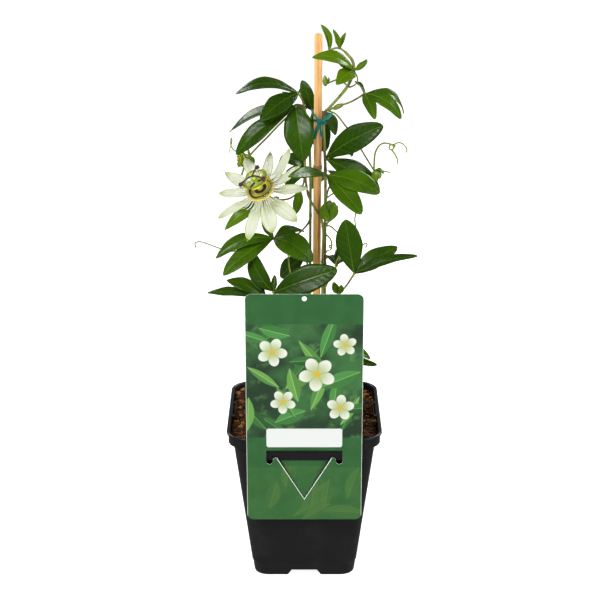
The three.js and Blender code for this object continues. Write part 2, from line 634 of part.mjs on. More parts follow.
// Each leaf: the petiole's points, from its stem to the hub, and leaflets fanned from the hub.
const LEAVES = {
  leaf_01: {
    age: 'leafYoung',
    petiole: [[38, -9.5, 516], [34, -9, 519], [30, -8.6, 520], [26, -8, 519], [22.5, -7, 517]],
    leaflets: [
      { tip: [15, -8, 541], width: 7.5, sway: 3.4, face: [15, 20], fold: 28 },
      { base: [31.5, -9.5, 519.5], tip: [26, -18, 538], width: 6.4, sway: 2.4, face: [-20, 20], fold: 30 },
      { base: [32.5, -9, 519], tip: [38, -8, 534], width: 4.6, sway: -1, face: [10, 10], fold: 25 },
    ],
  },
  leaf_02: {
    age: 'leafYoung',
    petiole: [[45, -13, 499], [45.4, -15.5, 500.5]],
    leaflets: [
      { tip: [7, -24, 514], width: 14, bow: 9, face: [-5, 50], fold: 8 },
      { tip: [29, -35, 491], width: 16.5, bow: 3, face: [-15, 30], fold: 6, widest: 0.75, fullness: 0.9 },
      { tip: [57.5, -9, 509.5], width: 6.5, sway: 1.5, face: [-20, 20], fold: 24 },
      { tip: [28.6, -15, 512.5], width: 8, bow: 2.5, sway: -1, face: [10, 20], fold: 14 },
    ],
  },
  leaf_03: {
    age: 'leafMid',
    petiole: [[23, -3, 461.5], [31, -6, 465.6], [42, -10, 470], [52, -14, 476.5], [55.5, -16, 479.5]],
    sheath: { place: [26.4, -4.4, 462.6], direction: [0.85, -0.28, 0.45], length: 12.5, width: 5 },
    leaflets: [
      { tip: [46.5, -5, 489], width: 6, bow: 2, face: [40, 40] },
      { tip: [64.5, -38, 460], width: 12, bow: 5, sway: 1, face: [10, 25], fold: 6 },
      { tip: [89, -22, 457], width: 14, bow: 12, face: [5, 40], fold: 6 },
      { tip: [92.5, -3, 458], width: 13, bow: 12, face: [30, 55], fold: 8 },
    ],
  },
  leaf_04: {
    age: 'leafDark',
    petiole: [[20, 4.5, 403], [20.4, 1.2, 408], [19.5, 0.6, 414.5]],
    leaflets: [
      { tip: [73, -14, 449], width: 25, bow: 2, sway: -2, face: [5, 30], fold: 8, widest: 1.15 },
      { tip: [72, 12, 378], width: 25, bow: 7, face: [10, 35], fold: 6, widest: 1.15 },
      {
        base: [24, 2.2, 413], stalked: true, tip: [46, 56, 404], width: 18, bow: 6, face: [150, 60], fold: 8,
      },
    ],
  },
  leaf_05: {
    age: 'leafMid',
    petiole: [[20, 4.5, 386], [20.6, 1, 393], [21.4, -6.5, 400]],
    leaflets: [
      { tip: [-14.2, -66, 413], width: 14, bow: 5, face: [-5, 38], fold: 5 },
      { tip: [53, -42, 372], width: 21, bow: 3, face: [12, 35], fold: 7, widest: 1.1 },
      { tip: [71, -20, 386.5], width: 25, bow: 6, face: [5, 48], fold: 6, widest: 1.1 },
    ],
  },
  leaf_06: {
    age: 'leafDark',
    petiole: [[0, 2.5, 460], [-1.5, 1.5, 469], [-6, 0, 477]],
    leaflets: [
      { tip: [-64, 3, 475.5], width: 17.5, bow: 12, face: [-5, 62], fold: 6 },
      { tip: [-40, -29, 457], width: 22, bow: 4, face: [-15, 42], fold: 6 },
      { tip: [2, 4, 480], width: 5, bow: 1, face: [20, 40] },
    ],
  },
  leaf_07: {
    age: 'leafDark',
    petiole: [[-1.5, -2, 446], [-4, -6, 457], [-8, -10, 466]],
    leaflets: [
      { tip: [-63.5, -24, 424], width: 19, bow: 7, face: [-10, 45], fold: 6, widest: 1.3 },
      { tip: [-71.4, 24, 434.6], width: 19, bow: 8, face: [-25, 65], fold: 8 },
      { tip: [-1, -30, 419], width: 28, bow: 3, face: [-4, 22], fold: 6, widest: 0.85 },
    ],
  },
  leaf_08: {
    age: 'leafDark',
    petiole: [[4.6, 8.2, 428], [5, 14, 442], [8, 19, 456]],
    leaflets: [
      { tip: [-2, 26, 484], width: 13, bow: 2, face: [0, 10] },
      { tip: [19.5, 25, 415], width: 21, bow: 4, face: [0, 20], fold: 6 },
      { tip: [-10, 62, 440], width: 18, bow: 8, face: [190, 50], fold: 8 },
      { tip: [30, 58, 424], width: 18, bow: 8, face: [150, 55], fold: 8 },
    ],
  },
  leaf_09: {
    age: 'leafMid',
    petiole: [[5.7, 10, 352], [2, 2, 348], [-10, -10, 341], [-29, -20, 342]],
    leaflets: [
      { tip: [-84, -26, 324], width: 18, bow: 11, face: [-10, 60], fold: 6 },
      { tip: [-76, -48, 314], width: 20, bow: 6, face: [-20, 45], fold: 6, widest: 1.15 },
      { tip: [8, -36, 324], width: 26, bow: 9, face: [12, 40], fold: 6 },
      { tip: [0, 2, 342], width: 14, bow: 6, face: [10, 70], fold: 8 },
      { tip: [-40, -4, 358], width: 9, bow: 2, face: [-10, 15] },
    ],
    tendril: [[-29, -19, 341], [-45, -10, 331], [-71, -8, 325.5], [-84, -8, 329.5], [-100, -8, 335],
      [-104.4, -8, 333.5], [-103.6, -8, 329]],
  },
  leaf_10: {
    age: 'leafYoung',
    petiole: [[0.7, 3.6, 404], [-2, 4, 386], [-14, 6, 374], [-30, 4, 373]],
    leaflets: [
      { tip: [-76, -9, 347], width: 14, bow: 7, face: [-10, 50], fold: 8 },
      { tip: [-58, 30, 356], width: 15, bow: 8, face: [200, 60], fold: 8 },
      { tip: [-34, 40, 352], width: 15, bow: 8, face: [170, 60], fold: 8 },
      { base: [-4, 4.6, 383.5], tip: [-8.5, 2, 359.5], width: 10, bow: 1, face: [10, 10], fold: 8 },
    ],
  },
  leaf_11: {
    age: 'leafDark',
    petiole: [[5.8, 9.6, 392], [3, 16, 398], [0, 20, 404]],
    leaflets: [
      { tip: [-22, 6, 412], width: 14, bow: 4, face: [-20, 35] },
      { tip: [-18, 14, 384], width: 16, bow: 3, face: [-10, 30] },
      { tip: [-24, 52, 396], width: 18, bow: 8, face: [190, 55], fold: 8 },
    ],
  },
  leaf_12: {
    age: 'leafDark',
    petiole: [[17.3, 0, 258], [6, -20, 268], [-14, -42, 286], [-29, -53, 299]],
    leaflets: [
      { tip: [-50, -30, 330], width: 20, bow: 7, face: [-30, 12], fold: 8, widest: 1.1 },
      { tip: [30.5, -58, 323], width: 27, bow: 3, face: [5, 32], fold: 7, widest: 1.1 },
      { tip: [-27.5, -46, 314], width: 6, bow: 1, face: [0, 20] },
    ],
  },
  leaf_13: {
    age: 'leafDark',
    petiole: [[16.8, -1, 230], [2, -20, 250], [-18, -36, 274], [-36, -46, 291]],
    leaflets: [
      { tip: [-73, -46, 309], width: 15, bow: 5, face: [-5, 58], fold: 6, wave: 0.9 },
      { tip: [-92, -38, 293.5], width: 15, bow: 4, face: [-5, 74], fold: 6 },
      { tip: [-54, -20, 300], width: 13, bow: 3, face: [-10, 40] },
    ],
  },
  leaf_14: {
    age: 'leafDark',
    petiole: [[21, 4.8, 232], [26, -6, 262], [33, -17, 284], [41, -23, 297], [47.5, -24, 308]],
    leaflets: [
      { tip: [38.5, -20, 360], width: 26, bow: -2, face: [0, 15], fold: 8, wave: 0.8, widest: 1.15 },
      { tip: [89, -9, 330], width: 19, bow: 5, face: [15, 48], fold: 8 },
      { tip: [107, -28, 327], width: 13, bow: 5, face: [5, 62], fold: 14 },
    ],
    tendril: [[47.5, -24, 308], [51, -13, 322], [56, -11, 333], [60, -11, 334], [58.5, -11, 330]],
  },
  leaf_15: {
    age: 'leafMid',
    petiole: [[21.3, 4.9, 214], [24, -6, 223], [31, -15, 227], [39, -22, 225.5]],
    leaflets: [
      { tip: [64, -20, 220], width: 12, bow: 7, face: [10, 55] },
      { tip: [70.3, -28, 216.8], width: 10, bow: -3.5, face: [10, 55] },
      { tip: [26, -50, 232], width: 17, bow: 5, face: [0, 50] },
    ],
  },
  leaf_16: {
    age: 'leafDark',
    petiole: [[20, 4.5, 366], [23, 16, 380], [30, 30, 388]],
    leaflets: [
      { tip: [64, 50, 384], width: 18, bow: 6, face: [150, 60], fold: 8 },
      { tip: [34, 76, 376], width: 18, bow: 7, face: [180, 55], fold: 8 },
      { tip: [6, 58, 370], width: 18, bow: 7, face: [190, 50], fold: 8 },
    ],
  },
  leaf_17: {
    age: 'leafDark',
    petiole: [[21.4, 5, 208], [22, 18, 226], [18, 34, 240]],
    leaflets: [
      { tip: [-30, 54, 232], width: 18, bow: 7, face: [190, 60], fold: 8 },
      { tip: [4, 76, 228], width: 18, bow: 7, face: [180, 55], fold: 8 },
      { tip: [42, 62, 236], width: 18, bow: 6, face: [160, 60], fold: 8 },
    ],
  },
  leaf_18: {
    age: 'leafDark',
    petiole: [[4.6, 12.6, 186], [-4, 22, 198], [-14, 32, 206]],
    leaflets: [
      { tip: [-46, 22, 192], width: 18, bow: 6, face: [250, 60], fold: 8 },
      { tip: [-40, 58, 194], width: 18, bow: 6, face: [210, 60], fold: 8 },
      { tip: [-8, 66, 190], width: 18, bow: 6, face: [180, 60], fold: 8 },
    ],
  },
  leaf_19: {
    age: 'leafDark',
    petiole: [[20, 4.5, 284], [26, 14, 294], [32, 22, 302]],
    leaflets: [
      { tip: [50, 48, 318], width: 17, bow: 5, face: [150, 50], fold: 8 },
      { tip: [44, 62, 290], width: 18, bow: 7, face: [165, 50], fold: 8 },
      { tip: [20, 62, 296], width: 16, bow: 6, face: [190, 50], fold: 8 },
    ],
  },
  leaf_20: {
    age: 'leafDark',
    petiole: [[2.6, 5.8, 446], [-4, 14, 452], [-12, 24, 460]],
    leaflets: [
      { tip: [-42, 44, 446], width: 17, bow: 7, face: [210, 60], fold: 8 },
      { tip: [-16, 62, 462], width: 16, bow: 7, face: [180, 60], fold: 8 },
    ],
  },
  leaf_21: {
    age: 'leafDark',
    petiole: [[5.6, 11, 296], [3, 14, 306], [0, 18, 313]],
    leaflets: [
      { tip: [-24, 38, 285], width: 19, bow: 3, face: [-20, 20], fold: 8 },
      { tip: [-14, 66, 300], width: 18, bow: 7, face: [185, 60], fold: 8 },
    ],
    tendril: [[3.6, 13.4, 303], [-3, 11, 296], [-10, 9, 291], [-14, 7, 302], [-16, 6, 322]],
  },
};

// The same path with both ends moved outwards.
function lengthened(path, extra) {
  const stretch = (end, next) => {
    const outward = vector(end).sub(vector(next)).setLength(extra);
    return vector(end).add(outward).toArray();
  };
  const last = path.length - 1;
  return [stretch(path[0], path[1]), ...path.slice(1, last), stretch(path[last], path[last - 1])];
}

// A stem with its tendrils.
function makeStem({ radius, path, tendrils }) {
  const parts = [tube(path, radius, STEM_SIDES, STEM_STEP)];
  for (const points of tendrils) parts.push(tube(points, TENDRIL_RADIUS, 3, 8));
  return unite(parts);
}

function makeLeaf({ petiole, leaflets, tendril, sheath }) {
  const hub = petiole[petiole.length - 1];
  const parts = [tube(petiole, PETIOLE_RADIUS, 4, 12), knob(HUB_RADIUS, hub)];
  for (const leaflet of leaflets) {
    parts.push(blade({ base: hub, ...leaflet }));
    if (leaflet.stalked) parts.push(tube([hub, leaflet.base], TENDRIL_RADIUS, 4));
  }
  if (tendril) parts.push(tube(tendril, TENDRIL_RADIUS, 3, 8));
  if (sheath) parts.push(bud(sheath.place, sheath.direction, sheath.length, sheath.width));
  return unite(parts);
}

// ---------------------------------------------------------------- buds and stalks

// An egg-shaped bud that starts at a place and grows along a direction.
function bud(place, direction, length, width) {
  const profile = [
    [0, 0], [0.22 * width, 0.04 * length], [0.46 * width, 0.3 * length], [0.48 * width, 0.5 * length],
    [0.34 * width, 0.78 * length], [0.12 * width, 0.96 * length], [0, length],
  ];
  return solid(aim(turned(profile, 6), place, direction));
}

function makeLargeBud() {
  const foot = [23, -7, 354.5];
  const sepal = { width: 11, bow: 3.4, segments: 4 };
  const parts = [
    tube([[19.8, 4.5, 352], [21, -2, 350.5], foot], 1, 5),
    bud(foot, [0.05, -0.05, 1], 19, 11),
    blade({ base: foot, tip: [19.4, -12, 374], face: [-30, 0], ...sepal }),
    blade({ base: foot, tip: [27.5, -10, 375], face: [40, 0], ...sepal }),
    blade({ base: foot, tip: [24, 0, 374], face: [180, 0], ...sepal }),
    blade({ base: [25, -7, 358], tip: [32, -7, 371], width: 5, bow: 1.5, face: [80, 0], segments: 4 }),
  ];
  return unite(parts);
}

function makeTopBud() {
  return unite([
    tube([[40, -12, 486], [31, -5, 490], [24, -1, 487], [20, 0, 485]], 0.8, 5),
    bud([19.6, 0, 483], [-0.05, 0, 1], 10.5, 5.4),
    blade({ base: [20, 0, 484], tip: [22.6, -1, 492], width: 3.6, bow: 1, face: [60, 0] }),
  ]);
}

// The thin stalk on the right that carries a round bud and a long hooked tendril.
function makeBudStalk() {
  const foot = [66, 4, 402];
  return unite([
    tube([[22.4, -1.6, 460], [28, -2.5, 458.5], [38, 3, 446], [48, 9, 431], [57, 8, 416], foot], 0.8, 4, 12),
    bud(foot, [0.62, -0.2, -0.7], 10, 9.5),
    blade({ base: foot, tip: [69, -1, 392.5], width: 7, bow: 2, face: [0, -10] }),
    blade({ base: foot, tip: [75, 0, 399.5], width: 7, bow: 2.4, face: [60, 50] }),
    tube([foot, [73, 2, 402], [81, 2, 400.5]], TENDRIL_RADIUS, 3),
    tube(
      [foot, [66.5, 3, 410], [67, 2, 418], [70, 1, 424.5], [75.5, 0, 429], [82, -2, 428], [90, -4, 430.5],
        [94.5, -4, 427.5], [96.2, -4, 421]],
      TENDRIL_RADIUS, 3, 7,
    ),
    knob(1.9, [82.4, -2, 427.4]),
    tube([[82.4, -2, 427.4], [86.4, -3, 419], [88.2, -3, 411.4]], TENDRIL_RADIUS, 3),
  ]);
}

function makeLowBud() {
  const foot = [33, -27, 288.5];
  return unite([
    tube([[33.5, -20, 286], [33.4, -23.5, 285.6], foot], 0.8, 4),
    blade({ base: foot, tip: [27.8, -28, 301], width: 8, bow: 1.5, face: [-10, 10] }),
    blade({ base: foot, tip: [35.4, -27, 298], width: 6.4, bow: 1.2, face: [20, 10] }),
  ]);
}

// The flower's stalk, with the lumpy young bud and small bracts at its node.
function makeFlowerStalk() {
  const random = seeded(3);
  const lump = new THREE.IcosahedronGeometry(1, 1);
  const place = lump.attributes.position;
  const seen = new Map();
  for (let i = 0; i < place.count; i += 1) {
    const key = [place.getX(i), place.getY(i), place.getZ(i)].map((v) => v.toFixed(3)).join();
    if (!seen.has(key)) seen.set(key, 0.86 + 0.26 * random());
    const reach = seen.get(key);
    place.setXYZ(i, 4.4 * reach * place.getX(i), 4 * reach * place.getY(i), 6.4 * reach * place.getZ(i));
  }
  lump.translate(-58.8, 3, 411.8);
  const fork = [-51.6, 2.5, 416.3];
  return unite([
    tube(
      [
        [0.4, 2.6, 459.5], [-8, 3, 458], [-17, 3, 452.4], [-34, 3, 435.1], fork,
        [-57.2, 6, 404.1], [-60, 7, 392.8], [-57, 2, 382], [-47, -11, 375], [-38.6, -26, 377.6],
        [-36.25, -32.9, 385.6],
      ],
      0.95, 5, 9,
    ),
    solid(lump),
    tube([fork, [-57.8, 3, 414.8]], 0.7, 4, 4),
    blade({ base: fork, tip: [-47.1, 1, 409.8], width: 5, bow: 1, face: [0, 20] }),
    blade({ base: fork, tip: [-53.1, 3, 423.3], width: 2.6, bow: 0.6, face: [0, 10] }),
    tube([fork, [-60.7, 5, 420.3], [-67.8, 5.5, 424.4], [-70.2, 6, 428.8], [-68.6, 6, 435.8]],
      TENDRIL_RADIUS, 3, 7),
  ]);
}

// ---------------------------------------------------------------- the flower, in its own frame

// Each tepal: degrees round the axis, degrees lifted from the flower's plane, length and width.
const TEPALS = [
  { azimuth: 110, lift: 12.6, length: 45, width: 12, bow: -2.4 },
  { azimuth: 142, lift: 17, length: 44, width: 12, bow: -3.4 },
  { azimuth: 166, lift: 4.5, length: 44, width: 12, bow: -1 },
  { azimuth: 204, lift: 2, length: 48, width: 12, bow: -0.6 },
  { azimuth: 243, lift: -19, length: 47, width: 14, bow: 0 },
  { azimuth: 278, lift: -15, length: 45, width: 15, bow: 0 },
  { azimuth: 309, lift: -17, length: 47, width: 15, bow: 0 },
  { azimuth: 346, lift: -1, length: 46, width: 12, bow: 0 },
  { azimuth: 374, lift: 13, length: 43, width: 11, bow: -2.6 },
  { azimuth: 400, lift: 21, length: 47, width: 12, bow: -4.4 },
  { azimuth: 436, lift: 11, length: 43, width: 11, bow: -2.2 },
];

const TEPAL_FORM = { fold: 6, fullness: 0.7, widest: 1.35, wave: 0.2, across: 3 };

function polar(radius, azimuth, height) {
  const angle = THREE.MathUtils.degToRad(azimuth);
  return [radius * Math.cos(angle), radius * Math.sin(angle), height];
}

// A point at a distance along a ray that leaves the axis at a height, turned and lifted.
function rayPoint(distance, azimuth, lift, height) {
  const rise = THREE.MathUtils.degToRad(lift);
  return polar(distance * Math.cos(rise), azimuth, height + distance * Math.sin(rise));
}

// The lift of the tepals at any azimuth, between the two nearest ones.
function liftAt(azimuth) {
  const turn = ((((azimuth - TEPALS[0].azimuth) % 360) + 360) % 360) + TEPALS[0].azimuth;
  const round = [...TEPALS, { ...TEPALS[0], azimuth: TEPALS[0].azimuth + 360 }];
  const next = round.findIndex((tepal) => tepal.azimuth >= turn);
  if (next === 0) return round[0].lift;
  const [before, after] = [round[next - 1], round[next]];
  const share = (turn - before.azimuth) / (after.azimuth - before.azimuth);
  return THREE.MathUtils.lerp(before.lift, after.lift, share);
}

function makeTepals() {
  const cup = turned([[0, -9.3], [2.6, -9.3], [4.6, -7], [6.4, -3.6], [6.4, -1.6], [0, -1.6]], 12);
  const parts = [solid(cup)];
  for (const { azimuth, lift, length, width, bow } of TEPALS) {
    const base = rayPoint(3, azimuth, lift, -3.4);
    const tip = rayPoint(length, azimuth, lift, -3.4);
    const up = THREE.MathUtils.degToRad(90 + lift);
    parts.push(tepal({ base, tip, width, bow, azimuth, up }));
  }
  const awnRoot = rayPoint(43, 142, 17, -3.4);
  const awnTip = rayPoint(50, 144, 20, -3.4);
  parts.push(tube([awnRoot, rayPoint(47, 142, 18.5, -3.4), awnTip], 0.5, 4, 3));
  return unite(parts);
}

// A tepal is a blade whose upper side looks up the flower's axis.
function tepal({ base, tip, width, bow, azimuth, up }) {
  const turn = azimuth + 90 - (Math.cos(up) > 0 ? 0 : 180);
  const lift = Math.cos(up) > 0 ? THREE.MathUtils.radToDeg(up) : 180 - THREE.MathUtils.radToDeg(up);
  return blade({ base, tip, width, bow, face: [turn, lift], ...TEPAL_FORM });
}

// White filaments just above the tepals: a round plate whose edge is drawn out into pointed teeth.
function makeCorona() {
  const teeth = [];
  const plate = [];
  for (let i = 0; i < 2 * CORONA.filaments; i += 1) {
    const azimuth = (180 * i) / CORONA.filaments;
    const lift = liftAt(azimuth) + CORONA.rise;
    const reach = i % 2 === 0 ? 0 : CORONA.reach - CORONA.root - (i % 4 === 1 ? 1.5 : 0);
    const [x, y, z] = rayPoint(reach, azimuth, lift, 0);
    const [rootX, rootY] = polar(CORONA.root, azimuth, 0);
    teeth.push([rootX + x, rootY + y, z]);
    plate.push(polar(CORONA.root - 0.3, azimuth, 0));
  }
  const raised = (ring) => ring.map(([x, y, z]) => [x, y, z + CORONA.plateThickness]);
  return ringBody([plate, teeth, raised(teeth), raised(plate)]);
}

// The nectar disc in the middle: an outer dark ring, a groove and a raised inner ring.
function makeDisc() {
  const base = CORONA.plateThickness + GAP;
  return solid(turned([
    [0, base], [DISC_RADIUS, base], [DISC_RADIUS, base + 1.4], [10.6, base + 1.9], [9.4, base + 0.9],
    [7, base + 1.5], [5, base + 0.8], [0, base + 0.8],
  ], 16));
}

// The green column: a stalk, five anthers on arching filaments, and the egg-shaped ovary.
function makeColumn() {
  const { radius, foot, antherHeight, antherRadius, ovaryTop } = COLUMN;
  const parts = [
    solid(turned([
      [0, 2.5], [2.6, 2.5], [radius, foot + 1], [radius, antherHeight - 1],
      [2.7, antherHeight + 1.6], [2.3, ovaryTop - 1], [1, ovaryTop], [0, ovaryTop],
    ], 7)),
  ];
  for (const azimuth of ANTHER_AZIMUTHS) {
    const [inner, arch, outer] = [[1, -0.8], [5, 0.4], [antherRadius, 0]].map(
      ([distance, rise]) => polar(distance, azimuth, antherHeight + rise),
    );
    parts.push(tube([inner, arch, outer], 0.8, 4, 5));
    const middle = polar(antherRadius, azimuth, antherHeight - 0.4);
    const anther = new THREE.SphereGeometry(1, 6, 4).scale(2.1, 6.2, 1.1);
    anther.rotateZ(THREE.MathUtils.degToRad(azimuth)).translate(...middle);
    parts.push(solid(anther));
  }
  return unite(parts);
}

// Three dark styles that spread from the ovary's top, each with a round stigma.
function makeStyles() {
  const height = COLUMN.ovaryTop + 2 * GAP;
  const parts = [cylinder(1.4, 1.2, [0, 0, height + 0.6], 6)];
  for (const [azimuth, reach, drop] of STYLES) {
    const path = [[0.4, 0.7], [0.35 * reach, 1.3], [0.7 * reach, 1.1], [reach, drop]].map(
      ([distance, rise]) => polar(distance, azimuth, height + rise),
    );
    parts.push(tube(path, 0.8, 5, 4), knob(2.1, path[path.length - 1]));
  }
  return unite(parts);
}

// ---------------------------------------------------------------- assembly

const stemSolids = Object.values(STEMS).map(makeStem);
const stemClearance = unite(Object.values(STEMS).map(({ radius, path }) => (
  tube(lengthened(path, GAP), radius + 1.5 * GAP, STEM_SIDES, STEM_STEP)
)));
const caneClearance = makeCane(GAP);

const flower = new THREE.Group();
flower.add(
  node('flower_tepals', makeTepals(), COLOURS.tepal),
  node('flower_corona', makeCorona(), COLOURS.corona),
  node('flower_disc', makeDisc(), COLOURS.disc),
  node('flower_column', makeColumn(), COLOURS.column),
  node('flower_styles', makeStyles(), COLOURS.style, 0.4),
);
const axisTurn = THREE.MathUtils.degToRad(FLOWER.turn);
const axisLift = THREE.MathUtils.degToRad(FLOWER.lift);
const axis = vector([
  Math.sin(axisTurn) * Math.cos(axisLift),
  -Math.cos(axisTurn) * Math.cos(axisLift),
  Math.sin(axisLift),
]);
const across = vector([1, 0, 0]).addScaledVector(axis, -axis.x).normalize();
const upward = new THREE.Vector3().crossVectors(axis, across);
flower.position.set(...FLOWER.centre);
flower.quaternion.setFromRotationMatrix(new THREE.Matrix4().makeBasis(across, upward, axis));

const group = new THREE.Group();
group.add(
  node('pot', makePot(), COLOURS.pot, 0.45),
  node('soil', makeSoil().subtract(stemClearance).subtract(caneClearance), COLOURS.soil, 0.95),
  node('cane', makeCane(), COLOURS.cane),
  node('tie', makeTie(), COLOURS.tie, 0.4),
  node('label', makeLabel(), COLOURS.label, 0.35),
  flower,
);
Object.keys(STEMS).forEach((name, i) => {
  group.add(node(name, stemSolids[i], i === 2 ? COLOURS.stemYoung : COLOURS.stemOld));
});
for (const [name, layout] of Object.entries(LEAVES)) {
  group.add(node(name, makeLeaf(layout).subtract(stemClearance), COLOURS[layout.age], 0.4));
}
const growths = {
  bud_large: makeLargeBud(),
  bud_top: makeTopBud(),
  bud_round: makeBudStalk(),
  bud_low: makeLowBud(),
  flower_stalk: makeFlowerStalk(),
};
for (const [name, body] of Object.entries(growths)) {
  group.add(node(name, body.subtract(stemClearance), COLOURS.bud));
}

export default group;
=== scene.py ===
"""A potted passion flower vine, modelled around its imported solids.

Shapes are worked out in millimetres and become meshes in metres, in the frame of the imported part:
+Z is up, -Y is the front and the origin is the centre of the pot's base.
"""

import math
import random

import bmesh
import bpy
from mathutils import Matrix, Vector, noise


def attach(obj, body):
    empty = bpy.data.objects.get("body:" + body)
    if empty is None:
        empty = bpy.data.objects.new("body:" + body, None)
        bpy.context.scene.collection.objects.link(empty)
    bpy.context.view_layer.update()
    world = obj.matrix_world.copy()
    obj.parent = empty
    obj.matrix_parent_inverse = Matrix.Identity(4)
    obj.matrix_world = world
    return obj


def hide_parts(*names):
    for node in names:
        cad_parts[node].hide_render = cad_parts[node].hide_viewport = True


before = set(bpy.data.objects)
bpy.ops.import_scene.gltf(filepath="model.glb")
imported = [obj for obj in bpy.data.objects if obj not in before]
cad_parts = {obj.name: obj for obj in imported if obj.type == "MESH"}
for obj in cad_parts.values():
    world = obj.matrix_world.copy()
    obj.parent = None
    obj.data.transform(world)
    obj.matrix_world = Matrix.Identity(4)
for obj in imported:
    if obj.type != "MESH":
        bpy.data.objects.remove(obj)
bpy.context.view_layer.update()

MM = 0.001
TURN = 2 * math.pi
# Steps along each stretch of a smooth path.
CURVE_STEPS = 24

# ---------------------------------------------------------------- dimensions in millimetres, and counts

POT_HEIGHT = 159
RIM_HALF = 75
BAND_HALF = 73.3
WALL_TOP_HALF = 68.8
BASE_HALF = 50.5
RIM_RADIUS = 22
BASE_RADIUS = 14
WALL = 1.6
LIP_HEIGHT = 2.4
BAND_HEIGHT = 9.6
SKIRT = 2
FLANGE = 2
FOOT_HEIGHT = 6
FOOT_STEP_HEIGHT = 14
FOOT_STEP = 0.5
FLOOR = 2
APRON_WIDTH = 92
APRON_TAPER = 5
APRON_DROP = 22.5
APRON_THICKNESS = 1.2
LABEL_SIDES = (0, 2)
LOOP_SIDES = (1, 3)
LOOP_HALF = 19
LOOP_GAP_HALF = 14
SLIT_WIDTH = 54
SLIT_HEIGHT = 2.4
SLIT_DROP = 10
NOTCH_TOP = 25
NOTCH_BOTTOM = 35
DRAIN_RADIUS = 4.5
DRAIN_OFFSET = 30
SHARP_ANGLE = 40
BAND_BOTTOM = POT_HEIGHT - BAND_HEIGHT
BAND_RADIUS = RIM_RADIUS - (RIM_HALF - BAND_HALF)
WALL_RADIUS = RIM_RADIUS - (RIM_HALF - WALL_TOP_HALF)

SOIL_TOP = 153
SOIL_RINGS = 46
CRUMBS = 1900
FIBRES = 340

CANE_FOOT = (10.9, 8, 46)
CANE_TOP = (13.2, 10, 530)
CANE_RADIUS = 3.9
CANE_SIDES = 28
CANE_NODES = (0.27, 0.52, 0.74)

TIE_HEIGHT = 450
BAND_STEPS = 20
TIE_KNOT = (14.6, 1.2, 449)
# The tie's tails: tip, width, bow, sway and the way they face.
TIE_TAILS = (
    ((9.4, -4, 434), 3.4, 1.5, 0, (-15, 20)), ((16.4, -3, 436), 2.6, -1, 0, (30, 10)),
    ((6.2, 1.5, 461), 1.6, 2, 0, (-20, 20)), ((26.5, -3, 458), 3.6, 1.5, 1, (10, 40)),
)

LABEL_HALF = 55
LABEL_BOTTOM = 75
LABEL_TOP = 305
LABEL_CORNER = 6
LABEL_THICKNESS = 0.8
LABEL_GAP = 0.3
PLATE_EDGE = 0.12
HOLE_RADIUS = 2.2
HOLE_DROP = 4.5
HOLE_SIDES = 24
ARC_STEPS = 12
FOLD_STEPS = 8
SLOT_TOP = 147.8
SLOT_HALF = 36.5
LOBE = 6.4
LOBE_BOTTOM = 133.5
TONGUE_HALF = 26.5
TONGUE_SHOULDER = 140.5
FOLD_HALF = 23.5
APEX = 97
TONGUE_LEAN = 0.08
CUT = 0.6

PANEL_HALF = 36
PANEL_HEIGHT = 161
PANEL_HIGH = 9.6
PANEL_CORNER = 2.2
PRINTED_LEAVES = 21
PRINTED_SHADOWS = 9
# Blossoms in the label's picture: x, z and size in metres, and a turn.
BLOSSOMS = (
    (-0.030, 0.248, 0.014, 0.3), (0.012, 0.226, 0.017, 1.1), (0.038, 0.255, 0.011, 2.0),
    (-0.020, 0.198, 0.012, 0.9), (0.034, 0.192, 0.013, 2.6),
)

LEAF_THICKNESS = 0.5
LEAF_ROW = 1.35
VEIN_SPACING = 6.5
PETIOLE_RADIUS = 0.9
TENDRIL_RADIUS = 0.8
STEM_NODES = (0.10, 0.22, 0.33, 0.45, 0.57, 0.68, 0.79, 0.9)
BRACT_FOLD = 14

FLOWER_CENTRE = Vector((-39.6, -38, 393.7))
FLOWER_TURN = -37.6
FLOWER_LIFT = 52.4
CORONA_ROOT = 12.9
CORONA_REACH = 27
CORONA_RISE = 8
FILAMENTS = 96
KNOBS = 64
FRINGE_HAIRS = 120
DISC_BASE = 1.2
TEPAL_HEIGHT = -3.4
ANTHER_HEIGHT = 15.5
ANTHER_REACH = 11
ANTHER_AZIMUTHS = (42, 119, 204, 283, 340)
OVARY_TOP = 19.2
# Each style: degrees round the axis, how far out its stigma is, and its height over the ovary.
STYLES = ((69, 10.6, -0.2), (207, 13.2, -0.2), (326, 12, 0.4))

# Of a leaf's paints, the one for its stalks; of a bud's paints, those for its other parts.
STALK_FINISH = 2
BRACT_FINISH = 1
TENDRIL_FINISH = 3
BUD_STALK_FINISH = 4
LUMPY_FINISH = 5
# The leaves counted as young ones.
YOUNG_NODES = ("leaf_01", "leaf_02", "leaf_10")

# The studio, in metres and degrees.
FLOOR_GLOW = 0.9
DOME_RADIUS = 10
SKY_GLOW = 0.2
LIT_PLACE = (0, 0, 0.28)
CAMERA_PLACE = (0, -1.374, 0.742)
CAMERA_PITCH = 18.83
CAMERA_LENS = 89.46
SENSOR_WIDTH = 36
CAMERA_SHIFT = -4.3 / 600

# ---------------------------------------------------------------- the plant's layout

SOIL_DEPTH = 128
TIED_STEM = (18.2, 3.2)
